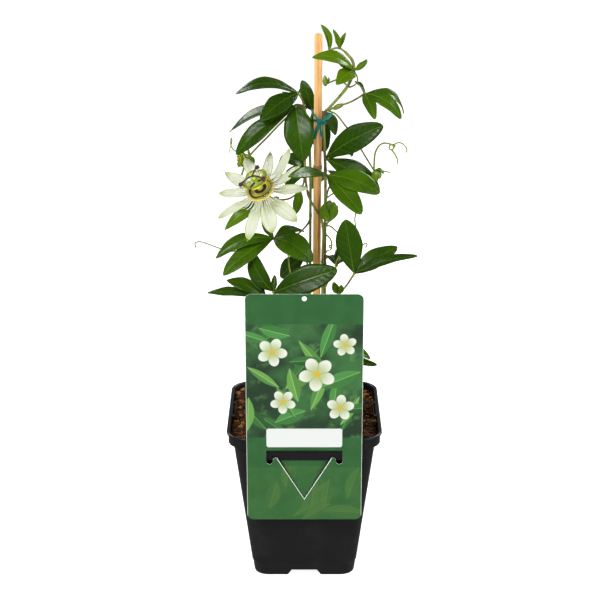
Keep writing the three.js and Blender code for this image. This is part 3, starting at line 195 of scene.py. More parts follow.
# Each stem: its radius, its path and its tendrils.
STEMS = {
    "stem_right": (1.4, [
        (22, 6, SOIL_DEPTH), (22, 6, 150), (21.5, 5, 200), (20.4, 4.6, 250), (20, 4.5, 300),
        (20, 4.5, 350), (20, 4.5, 400), (19, 4, 425), (*TIED_STEM, 441), (*TIED_STEM, 456),
        (23, -2, 463), (31, -7, 473), (39, -11.5, 484), (43, -13, 492), (45.5, -13, 500),
        (44, -11.5, 509), (38, -9.5, 516),
    ], [
        [(40, -12, 484.5), (44, -16, 486), (48.5, -17, 490), (48, -15, 496), (45.5, -13, 498)],
        [(20, 4.5, 347), (24, 4, 347.3), (28.9, -2, 345.3), (33, -4.5, 341.6), (37, -5, 333), (37, -6, 325),
         (33.2, -8, 320), (31.2, -9, 316.2), (29.1, -10, 311.3)],
        [(20, 4.5, 339.4), (21.8, 0, 339), (24, -2.5, 337.5), (25.5, -3.5, 335.2), (26.1, -4, 332.4),
         (26.4, -4, 329.8), (25.6, -3.4, 327.6), (24, -2.6, 328), (24.2, -3, 330), (26, -4.2, 329.6),
         (26.2, -4.6, 327.4), (24.6, -4.2, 325.6), (22.6, -3.5, 324.8), (21.1, -3, 323), (20, -2.5, 320.6)],
        [(20, 4.5, 374), (33, 6, 381), (46, 0, 377), (49.5, -6, 367), (48, -9, 358), (49, -10, 350)],
    ]),
    "stem_left": (1.3, [
        (4, 14, SOIL_DEPTH), (4, 14, 150), (5, 12, 220), (5.6, 11, 300), (5.8, 10, 350),
        (5.8, 9.5, 400), (4.5, 8, 430), (2, 5, 450), (0, 2, 462),
    ], []),
    "stem_twining": (1.2, [
        (14, -4, SOIL_DEPTH), (14, -4, 150), (16, -2, 200), (17.4, 0, 260), (17.6, 0.5, 320),
        (18.2, 0, 343), (16.4, -1.6, 355), (11, -1.2, 365), (5, 2.4, 375), (1.6, 4, 390),
        (0.6, 3.6, 410), (0, 1.5, 430), (-1.5, -2, 446),
    ], [
        [(16, -2, 205), (2, -12, 240), (-8, -20, 280), (-13, -22, 305), (-15, -19, 320), (-16, -20, 332)],
    ]),
}

# Each leaf: its age, its petiole's points and its leaflets, which fan from the hub at the petiole's end.
# Each leaflet: tip, width, bow, the way it faces, its fold in degrees and what else sets it apart.
LEAVES = {
    "leaf_01": ("young", [(38, -9.5, 516), (34, -9, 519), (30, -8.6, 520), (26, -8, 519),
        (22.5, -7, 517)], [
        ((15, -8, 541), 7.5, 0, (15, 20), 28, dict(sway=3.4)),
        ((26, -18, 538), 6.4, 0, (-20, 20), 30, dict(base=(31.5, -9.5, 519.5), sway=2.4)),
        ((38, -8, 534), 4.6, 0, (10, 10), 25, dict(base=(32.5, -9, 519), sway=-1)),
    ], {}),
    "leaf_02": ("young", [(45, -13, 499), (45.4, -15.5, 500.5)], [
        ((7, -24, 514), 14, 9, (-5, 50), 8),
        ((29, -35, 491), 16.5, 3, (-15, 30), 6, dict(widest=0.75, fullness=0.9)),
        ((57.5, -9, 509.5), 6.5, 0, (-20, 20), 24, dict(sway=1.5)),
        ((28.6, -15, 512.5), 8, 2.5, (10, 20), 14, dict(sway=-1)),
    ], {}),
    "leaf_03": ("mid", [(23, -3, 461.5), (31, -6, 465.6), (42, -10, 470), (52, -14, 476.5),
        (55.5, -16, 479.5)], [
        ((46.5, -5, 489), 6, 2, (40, 40), 12),
        ((64.5, -38, 460), 12, 5, (10, 25), 6, dict(sway=1)),
        ((89, -22, 457), 14, 12, (5, 40), 6),
        ((92.5, -3, 458), 13, 12, (30, 55), 8),
    ], dict(sheath=dict(place=(26.4, -4.4, 462.6), direction=(0.85, -0.28, 0.45), length=12.5, width=5))),
    "leaf_04": ("dark", [(20, 4.5, 403), (20.4, 1.2, 408), (19.5, 0.6, 414.5)], [
        ((73, -14, 449), 25, 2, (5, 30), 8, dict(sway=-2, widest=1.15)),
        ((72, 12, 378), 25, 7, (10, 35), 6, dict(widest=1.15)),
        ((46, 56, 404), 18, 6, (150, 60), 8, dict(base=(24, 2.2, 413), stalked=True)),
    ], {}),
    "leaf_05": ("mid", [(20, 4.5, 386), (20.6, 1, 393), (21.4, -6.5, 400)], [
        ((-14.2, -66, 413), 14, 5, (-5, 38), 5),
        ((53, -42, 372), 21, 3, (12, 35), 7, dict(widest=1.1)),
        ((71, -20, 386.5), 25, 6, (5, 48), 6, dict(widest=1.1)),
    ], {}),
    "leaf_06": ("dark", [(0, 2.5, 460), (-1.5, 1.5, 469), (-6, 0, 477)], [
        ((-64, 3, 475.5), 17.5, 12, (-5, 62), 6),
        ((-40, -29, 457), 22, 4, (-15, 42), 6),
        ((2, 4, 480), 5, 1, (20, 40), 12),
    ], {}),
    "leaf_07": ("dark", [(-1.5, -2, 446), (-4, -6, 457), (-8, -10, 466)], [
        ((-63.5, -24, 424), 19, 7, (-10, 45), 6, dict(widest=1.3)),
        ((-71.4, 24, 434.6), 19, 8, (-25, 65), 8),
        ((-1, -30, 419), 28, 3, (-4, 22), 6, dict(widest=0.85)),
    ], {}),
    "leaf_08": ("dark", [(4.6, 8.2, 428), (5, 14, 442), (8, 19, 456)], [
        ((-2, 26, 484), 13, 2, (0, 10), 12),
        ((19.5, 25, 415), 21, 4, (0, 20), 6),
        ((-10, 62, 440), 18, 8, (190, 50), 8),
        ((30, 58, 424), 18, 8, (150, 55), 8),
    ], {}),
    "leaf_09": ("mid", [(5.7, 10, 352), (2, 2, 348), (-10, -10, 341), (-29, -20, 342)], [
        ((-84, -26, 324), 18, 11, (-10, 60), 6),
        ((-76, -48, 314), 20, 6, (-20, 45), 6, dict(widest=1.15)),
        ((8, -36, 324), 26, 9, (12, 40), 6),
        ((0, 2, 342), 14, 6, (10, 70), 8),
        ((-40, -4, 358), 9, 2, (-10, 15), 12),
    ], dict(tendril=[(-29, -19, 341), (-45, -10, 331), (-71, -8, 325.5), (-84, -8, 329.5), (-100, -8, 335),
        (-104.4, -8, 333.5), (-103.6, -8, 329)])),
    "leaf_10": ("young", [(0.7, 3.6, 404), (-2, 4, 386), (-14, 6, 374), (-30, 4, 373)], [
        ((-76, -9, 347), 14, 7, (-10, 50), 8),
        ((-58, 30, 356), 15, 8, (200, 60), 8),
        ((-34, 40, 352), 15, 8, (170, 60), 8),
        ((-8.5, 2, 359.5), 10, 1, (10, 10), 8, dict(base=(-4, 4.6, 383.5))),
    ], {}),
    "leaf_11": ("dark", [(5.8, 9.6, 392), (3, 16, 398), (0, 20, 404)], [
        ((-22, 6, 412), 14, 4, (-20, 35), 12),
        ((-18, 14, 384), 16, 3, (-10, 30), 12),
        ((-24, 52, 396), 18, 8, (190, 55), 8),
    ], {}),
    "leaf_12": ("dark", [(17.3, 0, 258), (6, -20, 268), (-14, -42, 286), (-29, -53, 299)], [
        ((-50, -30, 330), 20, 7, (-30, 12), 8, dict(widest=1.1)),
        ((30.5, -58, 323), 27, 3, (5, 32), 7, dict(widest=1.1)),
        ((-27.5, -46, 314), 6, 1, (0, 20), 12),
    ], {}),
    "leaf_13": ("dark", [(16.8, -1, 230), (2, -20, 250), (-18, -36, 274), (-36, -46, 291)], [
        ((-73, -46, 309), 15, 5, (-5, 58), 6, dict(wave=0.9)),
        ((-92, -38, 293.5), 15, 4, (-5, 74), 6),
        ((-54, -20, 300), 13, 3, (-10, 40), 12),
    ], {}),
    "leaf_14": ("dark", [(21, 4.8, 232), (26, -6, 262), (33, -17, 284), (41, -23, 297), (47.5, -24, 308)], [
        ((38.5, -20, 360), 26, -2, (0, 15), 8, dict(wave=0.8, widest=1.15)),
        ((89, -9, 330), 19, 5, (15, 48), 8),
        ((107, -28, 327), 13, 5, (5, 62), 14),
    ], dict(tendril=[(47.5, -24, 308), (51, -13, 322), (56, -11, 333), (60, -11, 334), (58.5, -11, 330)])),
    "leaf_15": ("mid", [(21.3, 4.9, 214), (24, -6, 223), (31, -15, 227), (39, -22, 225.5)], [
        ((64, -20, 220), 12, 7, (10, 55), 12),
        ((70.3, -28, 216.8), 10, -3.5, (10, 55), 12),
        ((26, -50, 232), 17, 5, (0, 50), 12),
    ], {}),
    "leaf_16": ("dark", [(20, 4.5, 366), (23, 16, 380), (30, 30, 388)], [
        ((64, 50, 384), 18, 6, (150, 60), 8),
        ((34, 76, 376), 18, 7, (180, 55), 8),
        ((6, 58, 370), 18, 7, (190, 50), 8),
    ], {}),
    "leaf_17": ("dark", [(21.4, 5, 208), (22, 18, 226), (18, 34, 240)], [
        ((-30, 54, 232), 18, 7, (190, 60), 8),
        ((4, 76, 228), 18, 7, (180, 55), 8),
        ((42, 62, 236), 18, 6, (160, 60), 8),
    ], {}),
    "leaf_18": ("dark", [(4.6, 12.6, 186), (-4, 22, 198), (-14, 32, 206)], [
        ((-46, 22, 192), 18, 6, (250, 60), 8),
        ((-40, 58, 194), 18, 6, (210, 60), 8),
        ((-8, 66, 190), 18, 6, (180, 60), 8),
    ], {}),
    "leaf_19": ("dark", [(20, 4.5, 284), (26, 14, 294), (32, 22, 302)], [
        ((50, 48, 318), 17, 5, (150, 50), 8),
        ((44, 62, 290), 18, 7, (165, 50), 8),
        ((20, 62, 296), 16, 6, (190, 50), 8),
    ], {}),
    "leaf_20": ("dark", [(2.6, 5.8, 446), (-4, 14, 452), (-12, 24, 460)], [
        ((-42, 44, 446), 17, 7, (210, 60), 8),
        ((-16, 62, 462), 16, 7, (180, 60), 8),
    ], {}),
    "leaf_21": ("dark", [(5.6, 11, 296), (3, 14, 306), (0, 18, 313)], [
        ((-24, 38, 285), 19, 3, (-20, 20), 8),
        ((-14, 66, 300), 18, 7, (185, 60), 8),
    ], dict(tendril=[(3.6, 13.4, 303), (-3, 11, 296), (-10, 9, 291), (-14, 7, 302), (-16, 6, 322)])),
}

# Each tepal: degrees round the axis, degrees lifted from the flower's plane, length, width and bow.
TEPALS = [
    (110, 12.6, 45, 12, -2.4), (142, 17, 44, 12, -3.4), (166, 4.5, 44, 12, -1), (204, 2, 48, 12, -0.6),
    (243, -19, 47, 14, 0), (278, -15, 45, 15, 0), (309, -17, 47, 15, 0), (346, -1, 46, 12, 0),
    (374, 13, 43, 11, -2.6), (400, 21, 47, 12, -4.4), (436, 11, 43, 11, -2.2),
]

# ---------------------------------------------------------------- forms and meshes


class Form:
    """Points in millimetres, faces with a finish number, and marks that the materials read."""

    def __init__(self):
        self.points, self.faces, self.finishes, self.marks, self.tints = [], [], [], [], []

    def add(self, points, faces, finish=0, marks=None, tint=0.5):
        first = len(self.points)
        self.points.extend(Vector(p) for p in points)
        self.faces.extend(tuple(first + i for i in face) for face in faces)
        self.finishes.extend(finish if isinstance(finish, list) else [finish] * len(faces))
        self.marks.extend(marks or [(0, 0, 0)] * len(points))
        self.tints.extend([tint] * len(points))

    def moved(self, change):
        """The same form with every point changed by a function."""
        self.points = [change(p) for p in self.points]
        return self


def placed(name, data):
    """A new object in the scene for a mesh, curve, light or camera."""
    obj = bpy.data.objects.new(name, data)
    bpy.context.scene.collection.objects.link(obj)
    return obj


def bare_mesh(name, form):
    mesh = bpy.data.meshes.new(name)
    mesh.from_pydata([MM * p for p in form.points], [], form.faces)
    return mesh


def piece(name, form, materials, nodes, slot):
    """Makes a form into one object that stands for CAD nodes."""
    mesh = bare_mesh(name, form)
    for material in materials:
        mesh.materials.append(material)
    mesh.polygons.foreach_set("material_index", form.finishes)
    marks = mesh.attributes.new("mark", "FLOAT_VECTOR", "POINT")
    marks.data.foreach_set("vector", [v for mark in form.marks for v in mark])
    mesh.attributes.new("tint", "FLOAT", "POINT").data.foreach_set("value", form.tints)
    face_out(mesh)
    mesh.polygons.foreach_set("use_smooth", [True] * len(mesh.polygons))
    dressed(placed(name, mesh), nodes)


def face_out(mesh):
    editable = bmesh.new()
    editable.from_mesh(mesh)
    bmesh.ops.recalc_face_normals(editable, faces=editable.faces)
    editable.to_mesh(mesh)
    editable.free()


def dressed(obj, nodes):
    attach(obj, "root")
    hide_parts(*nodes)


def lofted(rows, sides):
    """Faces between rings of points that follow each other."""
    faces = []
    for first in range(0, (rows - 1) * sides, sides):
        for j in range(sides):
            k = (j + 1) % sides
            faces.append((first + j, first + k, first + sides + k, first + sides + j))
    return faces


def looped(rows, sides):
    """The same, with the last ring joined to the first."""
    return [tuple(corner % (rows * sides) for corner in face) for face in lofted(rows + 1, sides)]


def capped(rows, sides):
    """The same as lofted, with a flat face at both ends."""
    return lofted(rows, sides) + [tuple(range(sides))[::-1], tuple(range((rows - 1) * sides, rows * sides))]


def smooth_path(points, step):
    """Evenly spaced points on the centripetal curve through given ones."""
    points = [Vector(p) for p in points]
    ends = [2 * points[0] - points[1], *points, 2 * points[-1] - points[-2]]
    dense = [points[0]]
    for a, b, c, d in zip(ends, ends[1:], ends[2:], ends[3:]):
        before, own, after = (max((q - p).length_squared ** 0.25, 1e-3) for p, q in ((a, b), (b, c), (c, d)))
        out = ((b - a) / before - (c - a) / (before + own) + (c - b) / own) * own
        into = ((c - b) / own - (d - b) / (own + after) + (d - c) / after) * own
        square, cube = 3 * (c - b) - 2 * out - into, 2 * (b - c) + out + into
        for i in range(1, CURVE_STEPS + 1):
            s = i / CURVE_STEPS
            dense.append(b + out * s + square * s ** 2 + cube * s ** 3)
    lengths = [0]
    for p, q in zip(dense, dense[1:]):
        lengths.append(lengths[-1] + (q - p).length)
    count = max(2, round(lengths[-1] / step))
    path = []
    at = 0
    for i in range(count + 1):
        goal = lengths[-1] * i / count
        while at + 2 < len(lengths) and lengths[at + 1] < goal:
            at += 1
        share = (goal - lengths[at]) / max(lengths[at + 1] - lengths[at], 1e-6)
        path.append(dense[at].lerp(dense[at + 1], min(share, 1)))
    return path


def tube(form, points, radius, sides=8, step=2.0, finish=0, tint=0.5, thin=1.0, bumps=lambda share: 0):
    """A round stalk along points. thin is the share of the radius left at the far end."""
    path = smooth_path(points, step)
    count = len(path)
    across = (path[1] - path[0]).normalized().orthogonal().normalized()
    rings = []
    marks = []
    length = 0
    for i, place in enumerate(path):
        ahead = (path[min(i + 1, count - 1)] - path[max(i - 1, 0)]).normalized()
        across = (across - ahead * across.dot(ahead)).normalized()
        beside = ahead.cross(across)
        share = i / (count - 1)
        if i:
            length += (place - path[i - 1]).length
        wide = radius * (1 + (thin - 1) * share) + bumps(share)
        for j in range(sides):
            angle = TURN * j / sides
            rings.append(place + wide * (math.cos(angle) * across + math.sin(angle) * beside))
            marks.append((share, j / sides, length))
    faces = lofted(count, sides)
    last = (count - 1) * sides
    for j in range(sides):
        k = (j + 1) % sides
        faces += [(k, j, count * sides), (last + j, last + k, count * sides + 1)]
    form.add(rings + [path[0], path[-1]], faces, finish, marks + [(0, 0, 0), (1, 0, length)], tint)


def ball(form, centre, size, detail=2, finish=0, tint=0.5, lumps=0.0, seed=0.0):
    """A rounded lump; size is its half extents, and lumps how uneven it is."""
    editable = bmesh.new()
    bmesh.ops.create_icosphere(editable, subdivisions=detail, radius=1)
    points = []
    marks = []
    for vertex in editable.verts:
        way = vertex.co.normalized()
        reach = 1 + lumps * noise.noise(2.3 * way + Vector((seed, 0, 0)))
        points.append([c + s * reach * w for c, s, w in zip(centre, size, way)])
        marks.append((0.5 + 0.5 * way.z, 0.5 + 0.5 * way.x, reach))
    faces = [[v.index for v in face.verts] for face in editable.faces]
    editable.free()
    form.add(points, faces, finish, marks, tint)


def lathe(form, profile, sides, finish=0, shape=lambda p: p):
    """A body turned round z. profile runs from axis to axis as (radius, height)."""
    points = []
    marks = []
    for radius, height in profile:
        for j in range(sides):
            angle = TURN * j / sides
            points.append(shape(Vector((radius * math.cos(angle), radius * math.sin(angle), height))))
            marks.append((radius, j / sides, height))
    form.add(points, lofted(len(profile), sides), finish, marks)


def aimed(place, direction):
    """A change that turns +z to a direction and moves the origin to a place."""
    turn = Vector((0, 0, 1)).rotation_difference(Vector(direction).normalized())
    return lambda point: turn @ point + Vector(place)


def looking(turn, lift):
    """The direction at degrees round from the front and degrees above the level."""
    turn, lift = math.radians(turn), math.radians(lift)
    return Vector((math.sin(turn) * math.cos(lift), -math.cos(turn) * math.cos(lift), math.sin(lift)))


class Spine:
    """The arched middle line of a blade whose upper side looks in a direction."""

    def __init__(self, base, tip, look, bow=0.0, sway=0.0):
        self.base = Vector(base)
        self.chord = Vector(tip) - self.base
        along = self.chord.normalized()
        self.normal = (look - along * look.dot(along)).normalized()
        self.bend = self.normal * bow + along.cross(self.normal) * sway

    def at(self, t):
        """The middle at a share of the length, the upper side's direction there, and the way across."""
        middle = self.base + self.chord * t + self.bend * (4 * t * (1 - t))
        heading = (self.chord + self.bend * (4 * (1 - 2 * t))).normalized()
        up = (self.normal - heading * self.normal.dot(heading)).normalized()
        return middle, up, heading.cross(up)


def blade(form, spine, rows, columns, half_at, rise_at, thickness, finish, tint, mark_at, flat=1.0):
    """A closed thin blade. half_at(t, u) is half its width, of which flat is the share seen from above.

    rise_at(t, u, half) lifts its upper and its lower side.
    """
    ring = 4 * columns + 2
    points = []
    marks = []
    for i in range(rows + 1):
        t = (1 - math.cos(math.pi * i / rows)) / 2
        middle, up, out = spine.at(t)
        uppers = []
        lowers = []
        for k in range(-columns, columns + 1):
            u = math.copysign(abs(k / columns) ** 1.3, k)
            half = half_at(t, u)
            top, under = rise_at(t, u, half)
            thick = thickness * (1 - 0.6 * u * u)
            across = middle + out * (half * u * flat)
            uppers.append((across + up * (top + thick / 2), mark_at(t, u, half)))
            lowers.append((across + up * (under - thick / 2), mark_at(t, u, half)))
        for point, mark in uppers + lowers[::-1]:
            points.append(point)
            marks.append(mark)
    faces = lofted(rows + 1, ring)
    sides = ([finish] * (2 * columns + 1) + [finish + 1] * (2 * columns + 1)) * rows
    last = rows * ring
    for j in range(2 * columns):
        end = (j, j + 1, ring - 2 - j, ring - 1 - j)
        faces += [end, tuple(last + corner for corner in end)]
        sides += [finish, finish]
    form.add(points, faces, sides, marks, tint)


# ---------------------------------------------------------------- materials


class Value:
    """One output of a material's nodes, which can be reckoned with like a number."""

    def __init__(self, paint, socket):
        self.paint = paint
        self.socket = socket

    def math(self, operation, *others):
        return self.paint.made("ShaderNodeMath", (self, *others), operation=operation)

    def __add__(self, other):
        return self.math("ADD", other)

    def __sub__(self, other):
        return self.math("SUBTRACT", other)

    def __mul__(self, other):
        return self.math("MULTIPLY", other)

    def __truediv__(self, other):
        return self.math("DIVIDE", other)

    def __abs__(self):
        return self.math("ABSOLUTE")

    def most(self, other):
        return self.math("MAXIMUM", other)

    def scaled(self, factor, added):
        return self.math("MULTIPLY_ADD", factor, added)

    def fade(self, low, high, start=0.0, end=1.0):
        """Start below low, end above high, and smooth between them."""
        return self.paint.made("ShaderNodeMapRange", (self, low, high, start, end),
                               interpolation_type="SMOOTHSTEP")


class Paint:
    """Builds one material's node tree; most calls return the new node's output."""

    def __init__(self, name, **settings):
        self.material = bpy.data.materials.new(name)
        self.material.use_nodes = True
        self.tree = self.material.node_tree
        self.shader = self.tree.nodes["Principled BSDF"]
        self.place = Value(self, self.node("ShaderNodeTexCoord").outputs["Object"])
        for socket, value in settings.items():
            self.set(socket.replace("_", " ").title().replace("Ior", "IOR"), value)

    def node(self, kind, sockets=(), **settings):
        """A new node with settings, and values for its sockets by name or number."""
        node = self.tree.nodes.new(kind)
        for key, value in settings.items():
            setattr(node, key, value)
        for key, value in dict(sockets).items():
            self.put(node.inputs[key], value)
        return node

    def made(self, kind, values, output=0, **settings):
        """The output of a new node whose first sockets get the values."""
        return Value(self, self.node(kind, enumerate(values), **settings).outputs[output])

    def put(self, socket, value):
        if isinstance(value, Value):
            self.tree.links.new(value.socket, socket)
        elif isinstance(value, tuple) and len(value) == 3 and len(socket.default_value) == 4:
            socket.default_value = (*value, 1)
        else:
            socket.default_value = value

    def set(self, name, value):
        self.put(self.shader.inputs[name], value)

    def mix(self, share, first, second):
        node = self.node("ShaderNodeMix", {0: share, 6: first, 7: second}, data_type="RGBA")
        return Value(self, node.outputs[2])

    def noise(self, scale, detail=3.0, place=None, roughness=0.55):
        sockets = {"Vector": place or self.place, "Scale": scale, "Detail": detail, "Roughness": roughness}
        return Value(self, self.node("ShaderNodeTexNoise", sockets).outputs["Fac"])

    def cells(self, scale, feature="F1"):
        sockets = {"Vector": self.place, "Scale": scale}
        return Value(self, self.node("ShaderNodeTexVoronoi", sockets, feature=feature).outputs["Distance"])

    def stretched(self, x, y, z):
        sockets = {"Vector": self.place, "Scale": (x, y, z)}
        return Value(self, self.node("ShaderNodeMapping", sockets).outputs[0])

    def split(self, vector):
        node = self.node("ShaderNodeSeparateXYZ", {0: vector})
        return [Value(self, output) for output in node.outputs]

    def attribute(self, name, output):
        return Value(self, self.node("ShaderNodeAttribute", attribute_name=name).outputs[output])

    def marks(self):
        return self.split(self.attribute("mark", "Vector"))

    def tint(self):
        return self.attribute("tint", "Fac")

    def colour(self, value):
        self.set("Base Color", value)

    def bump(self, height, strength, distance):
        sockets = {"Height": height, "Strength": strength, "Distance": distance}
        self.set("Normal", Value(self, self.node("ShaderNodeBump", sockets).outputs[0]))

    def glow_through(self, share, colour):
        """Lets a share of the light behind a thin blade through."""
        lucent = self.node("ShaderNodeBsdfTranslucent", {"Color": colour})
        both = self.made("ShaderNodeMixShader", (share, Value(self, self.shader.outputs[0]),
                                                 Value(self, lucent.outputs[0])))
        self.put(self.tree.nodes["Material Output"].inputs["Surface"], both)


# Colours of a leaf's upper side, its darker patches that also serve as painted shade along its side veins,
# its veins, its underside and what shines through it.
LEAF_COLOURS = {
    "dark": ((0.026, 0.076, 0.001), (0.012, 0.041, 0.001), (0.105, 0.180, 0.012), (0.070, 0.150, 0.010),
             (0.10, 0.26, 0.003)),
    "mid": ((0.058, 0.142, 0.002), (0.031, 0.085, 0.002), (0.170, 0.265, 0.012), (0.090, 0.180, 0.012),
            (0.16, 0.36, 0.004)),
    "young": ((0.110, 0.215, 0.002), (0.062, 0.145, 0.002), (0.225, 0.320, 0.014), (0.110, 0.210, 0.014),
              (0.20, 0.39, 0.004)),
    "bract": ((0.110, 0.215, 0.004), (0.064, 0.145, 0.003), (0.205, 0.285, 0.020), (0.120, 0.215, 0.020),
              (0.20, 0.37, 0.006)),
}


def leaf_veins(paint, side_from, net_scale, net_half):
    """How far from a side vein a place is, then its side vein, its net, its way aside and its way along."""
    phase, across, along = paint.marks()
    line = abs(phase.math("FRACT") - 0.5)
    net = paint.cells(net_scale, "DISTANCE_TO_EDGE").fade(0.0, net_half, 1, 0)
    return line, line.fade(side_from, 0.5), net, abs(across), along


def leaf_top(age):
    """Glossy upper side: a fine pale midrib, thin side veins and a faint net between them, with painted shade
    darkening a band along each side vein.
    """
    top, patch_and_shade, vein, _, glow = LEAF_COLOURS[age]
    paint = Paint(f"leaf_{age}_top", specular_ior_level=0.15)
    line, side_vein, net, aside, along = leaf_veins(paint, 0.445, 520, 0.12)
    patchy = paint.mix(paint.noise(38, 4).fade(0.36, 0.66) * 0.8, top, patch_and_shade)
    tinted = paint.mix(paint.tint().fade(0, 1, 0, 0.45), patchy, patch_and_shade)
    rib = (aside - along.scaled(-0.20, 0.36)).fade(-0.12, 0.12, 1, 0)
    # Painted shade: a darker band along each side vein, where it lies in a groove.
    painted_groove_shade = paint.mix(line.fade(0.30, 0.44) * 0.35, tinted, patch_and_shade)
    veins = (side_vein * 0.42).most(net * 0.10)
    paint.colour(paint.mix(rib * 0.78, paint.mix(veins, painted_groove_shade, vein), vein))
    paint.set("Roughness", paint.noise(60, 2).scaled(0.16, 0.14) + veins * 0.3)
    paint.bump(paint.noise(110, 1) * 0.5 - side_vein.scaled(0.9, net * 0.12), 0.3, 0.0004)
    paint.glow_through(0.10 if age == "dark" else 0.18, glow)
    return paint.material


def leaf_under(age):
    """Matt paler underside with raised veins."""
    top, _, vein, under, glow = LEAF_COLOURS[age]
    paint = Paint(f"leaf_{age}_under", roughness=0.5, specular_ior_level=0.25)
    _, side_vein, net, aside, _ = leaf_veins(paint, 0.43, 420, 0.14)
    veins = (side_vein * 0.5).most(net * 0.2)
    mottled = paint.mix(paint.noise(70, 3).fade(0.3, 0.7), under, top)
    paint.colour(paint.mix(veins.most(aside.fade(0.35, 0.7, 1, 0)), mottled, vein))
    paint.bump(side_vein.scaled(0.7, net * 0.4), 0.4, 0.0003)
    paint.glow_through(0.16, glow)
    return paint.material


def stalk_paint(name, young, old, share):
    """Green stalk that turns brown in streaks; share is how much of it is brown."""
    paint = Paint(name, roughness=0.45)
    streaks = paint.noise(110, 4, paint.stretched(1, 1, 0.25))
    paint.colour(paint.mix(streaks.fade(0.62 - 0.35 * share, 0.78 - 0.35 * share), young, old))
    paint.set("Roughness", streaks.scaled(0.3, 0.3))
    paint.bump(paint.noise(900, 2, paint.stretched(1, 1, 0.2)), 0.3, 0.0002)
    return paint.material


def tepal_streaks(paint, along, across, shift):
    return paint.noise(60, 3, paint.made("ShaderNodeCombineXYZ", (along * 0.02, across * 0.16, shift)))


def tepal_top():
    """White with faint streaks, greener along the edges and at the tip, and darker green-grey towards the
    base as painted shade of the filaments that lie over it.
    """
    paint = Paint("tepal_inside", roughness=0.55)
    along, across, _ = paint.marks()
    streaks = tepal_streaks(paint, along, across, paint.tint())
    white = paint.mix(streaks.fade(0.35, 0.7), (0.86, 0.87, 0.75), (0.66, 0.72, 0.50))
    rim = streaks.scaled(0.2, abs(across)).fade(0.86, 1.1)
    green = (rim * 0.7).most(along.fade(0.82, 1.0) * 0.85)
    # Painted shade of the filaments: the inner part towards the base turns darker green-grey.
    inner = paint.mix(along.fade(0.28, 0.60, 0.75, 0), white, (0.46, 0.52, 0.27))
    paint.colour(paint.mix(green, inner, (0.38, 0.50, 0.05)))
    paint.bump(streaks, 0.4, 0.0004)
    paint.glow_through(0.25, (0.80, 0.84, 0.68))
    return paint.material


def tepal_under():
    """Green outside of a tepal, whiter towards its edges."""
    paint = Paint("tepal_outside", roughness=0.5)
    along, across, _ = paint.marks()
    streaks = tepal_streaks(paint, along, across, 0.0)
    green = paint.mix(streaks, (0.22, 0.33, 0.04), (0.40, 0.48, 0.12))
    paint.colour(paint.mix(abs(across).fade(0.25, 0.8, 1, 0), (0.70, 0.74, 0.52), green))
    paint.bump(streaks, 0.4, 0.0004)
    paint.glow_through(0.2, (0.65, 0.72, 0.4))
    return paint.material


def filament_paint():
    """Yellow at the root, then white to the tip."""
    paint = Paint("corona_filament", roughness=0.5)
    paint.colour(paint.mix(paint.marks()[0].fade(0.08, 0.24, 1, 0), (0.92, 0.92, 0.86), (0.72, 0.60, 0.06)))
    paint.glow_through(0.2, (0.9, 0.9, 0.8))
    return paint.material


def disc_paint():
    """Rings of yellow-green and dark purple-brown round the flower's middle."""
    paint = Paint("flower_rings", roughness=0.4, specular_ior_level=0.5)
    uneven = paint.noise(700, 2).scaled(0.9, paint.marks()[0])
    colour = (0.030, 0.006, 0.010)
    for edge, ring in ((6.6, (0.55, 0.52, 0.30)), (7.6, (0.44, 0.44, 0.004)), (9.2, (0.52, 0.48, 0.004)),
                       (10.2, (0.030, 0.016, 0.006)), (12.6, (0.62, 0.52, 0.08))):
        colour = paint.mix(uneven.fade(edge - 0.15, edge + 0.3), colour, ring)
    paint.colour(colour)
    paint.bump(paint.noise(900, 3), 0.5, 0.0003)
    return paint.material


def plain_paint(name, first, second, scale, roughness, bump=0.3, glow=0.0):
    """Two close colours in soft patches, with a fine uneven surface."""
    paint = Paint(name, roughness=roughness)
    paint.colour(paint.mix(paint.noise(scale, 4).fade(0.35, 0.65), first, second))
    paint.bump(paint.noise(scale * 6, 3), bump, 0.0003)
    if glow:
        paint.glow_through(glow, second)
    return paint.material


def anther_paint():
    """Green back with bright yellow pollen along both edges and underneath, and dark specks."""
    paint = Paint("anther", roughness=0.6)
    height, _, aside = paint.marks()
    low = paint.noise(1400, 2).scaled(0.3, height).fade(0.66, 0.82, 1, 0)
    edge = paint.noise(1400, 2).scaled(0.5, aside).fade(1.55, 1.8)
    coat = paint.mix(low.most(edge), (0.15, 0.25, 0.003), (0.78, 0.58, 0.002))
    paint.colour(paint.mix(paint.cells(700).fade(0.12, 0.34, 1, 0) * 0.7, coat, (0.045, 0.035, 0.004)))
    paint.bump(paint.noise(2200, 3), 0.7, 0.0004)
    return paint.material


def column_paint():
    """Bright yellow-green with dark specks."""
    paint = Paint("flower_column", roughness=0.4)
    green = paint.mix(paint.noise(300, 2).fade(0.3, 0.7), (0.26, 0.40, 0.015), (0.46, 0.60, 0.06))
    paint.colour(paint.mix(paint.cells(900).fade(0.12, 0.3, 1, 0) * 0.6, green, (0.10, 0.03, 0.03)))
    return paint.material


def lumpy_paint():
    """Yellow-green lumps with dark olive wrinkles between them: their own darker tone together with painted
    shade in the creases.
    """
    paint = Paint("lumpy_bud", roughness=0.5)
    wrinkles_and_shade = paint.cells(620, "DISTANCE_TO_EDGE")
    lumps = paint.mix(paint.noise(300, 3).fade(0.35, 0.65), (0.48, 0.58, 0.010), (0.30, 0.42, 0.008))
    # Painted shade, with the wrinkles' own darker tone: the creases between the lumps go dark olive.
    paint.colour(paint.mix(wrinkles_and_shade.fade(0.02, 0.14, 1, 0), lumps, (0.035, 0.050, 0.004)))
    paint.bump(wrinkles_and_shade.fade(0.0, 0.3), 0.9, 0.0008)
    return paint.material


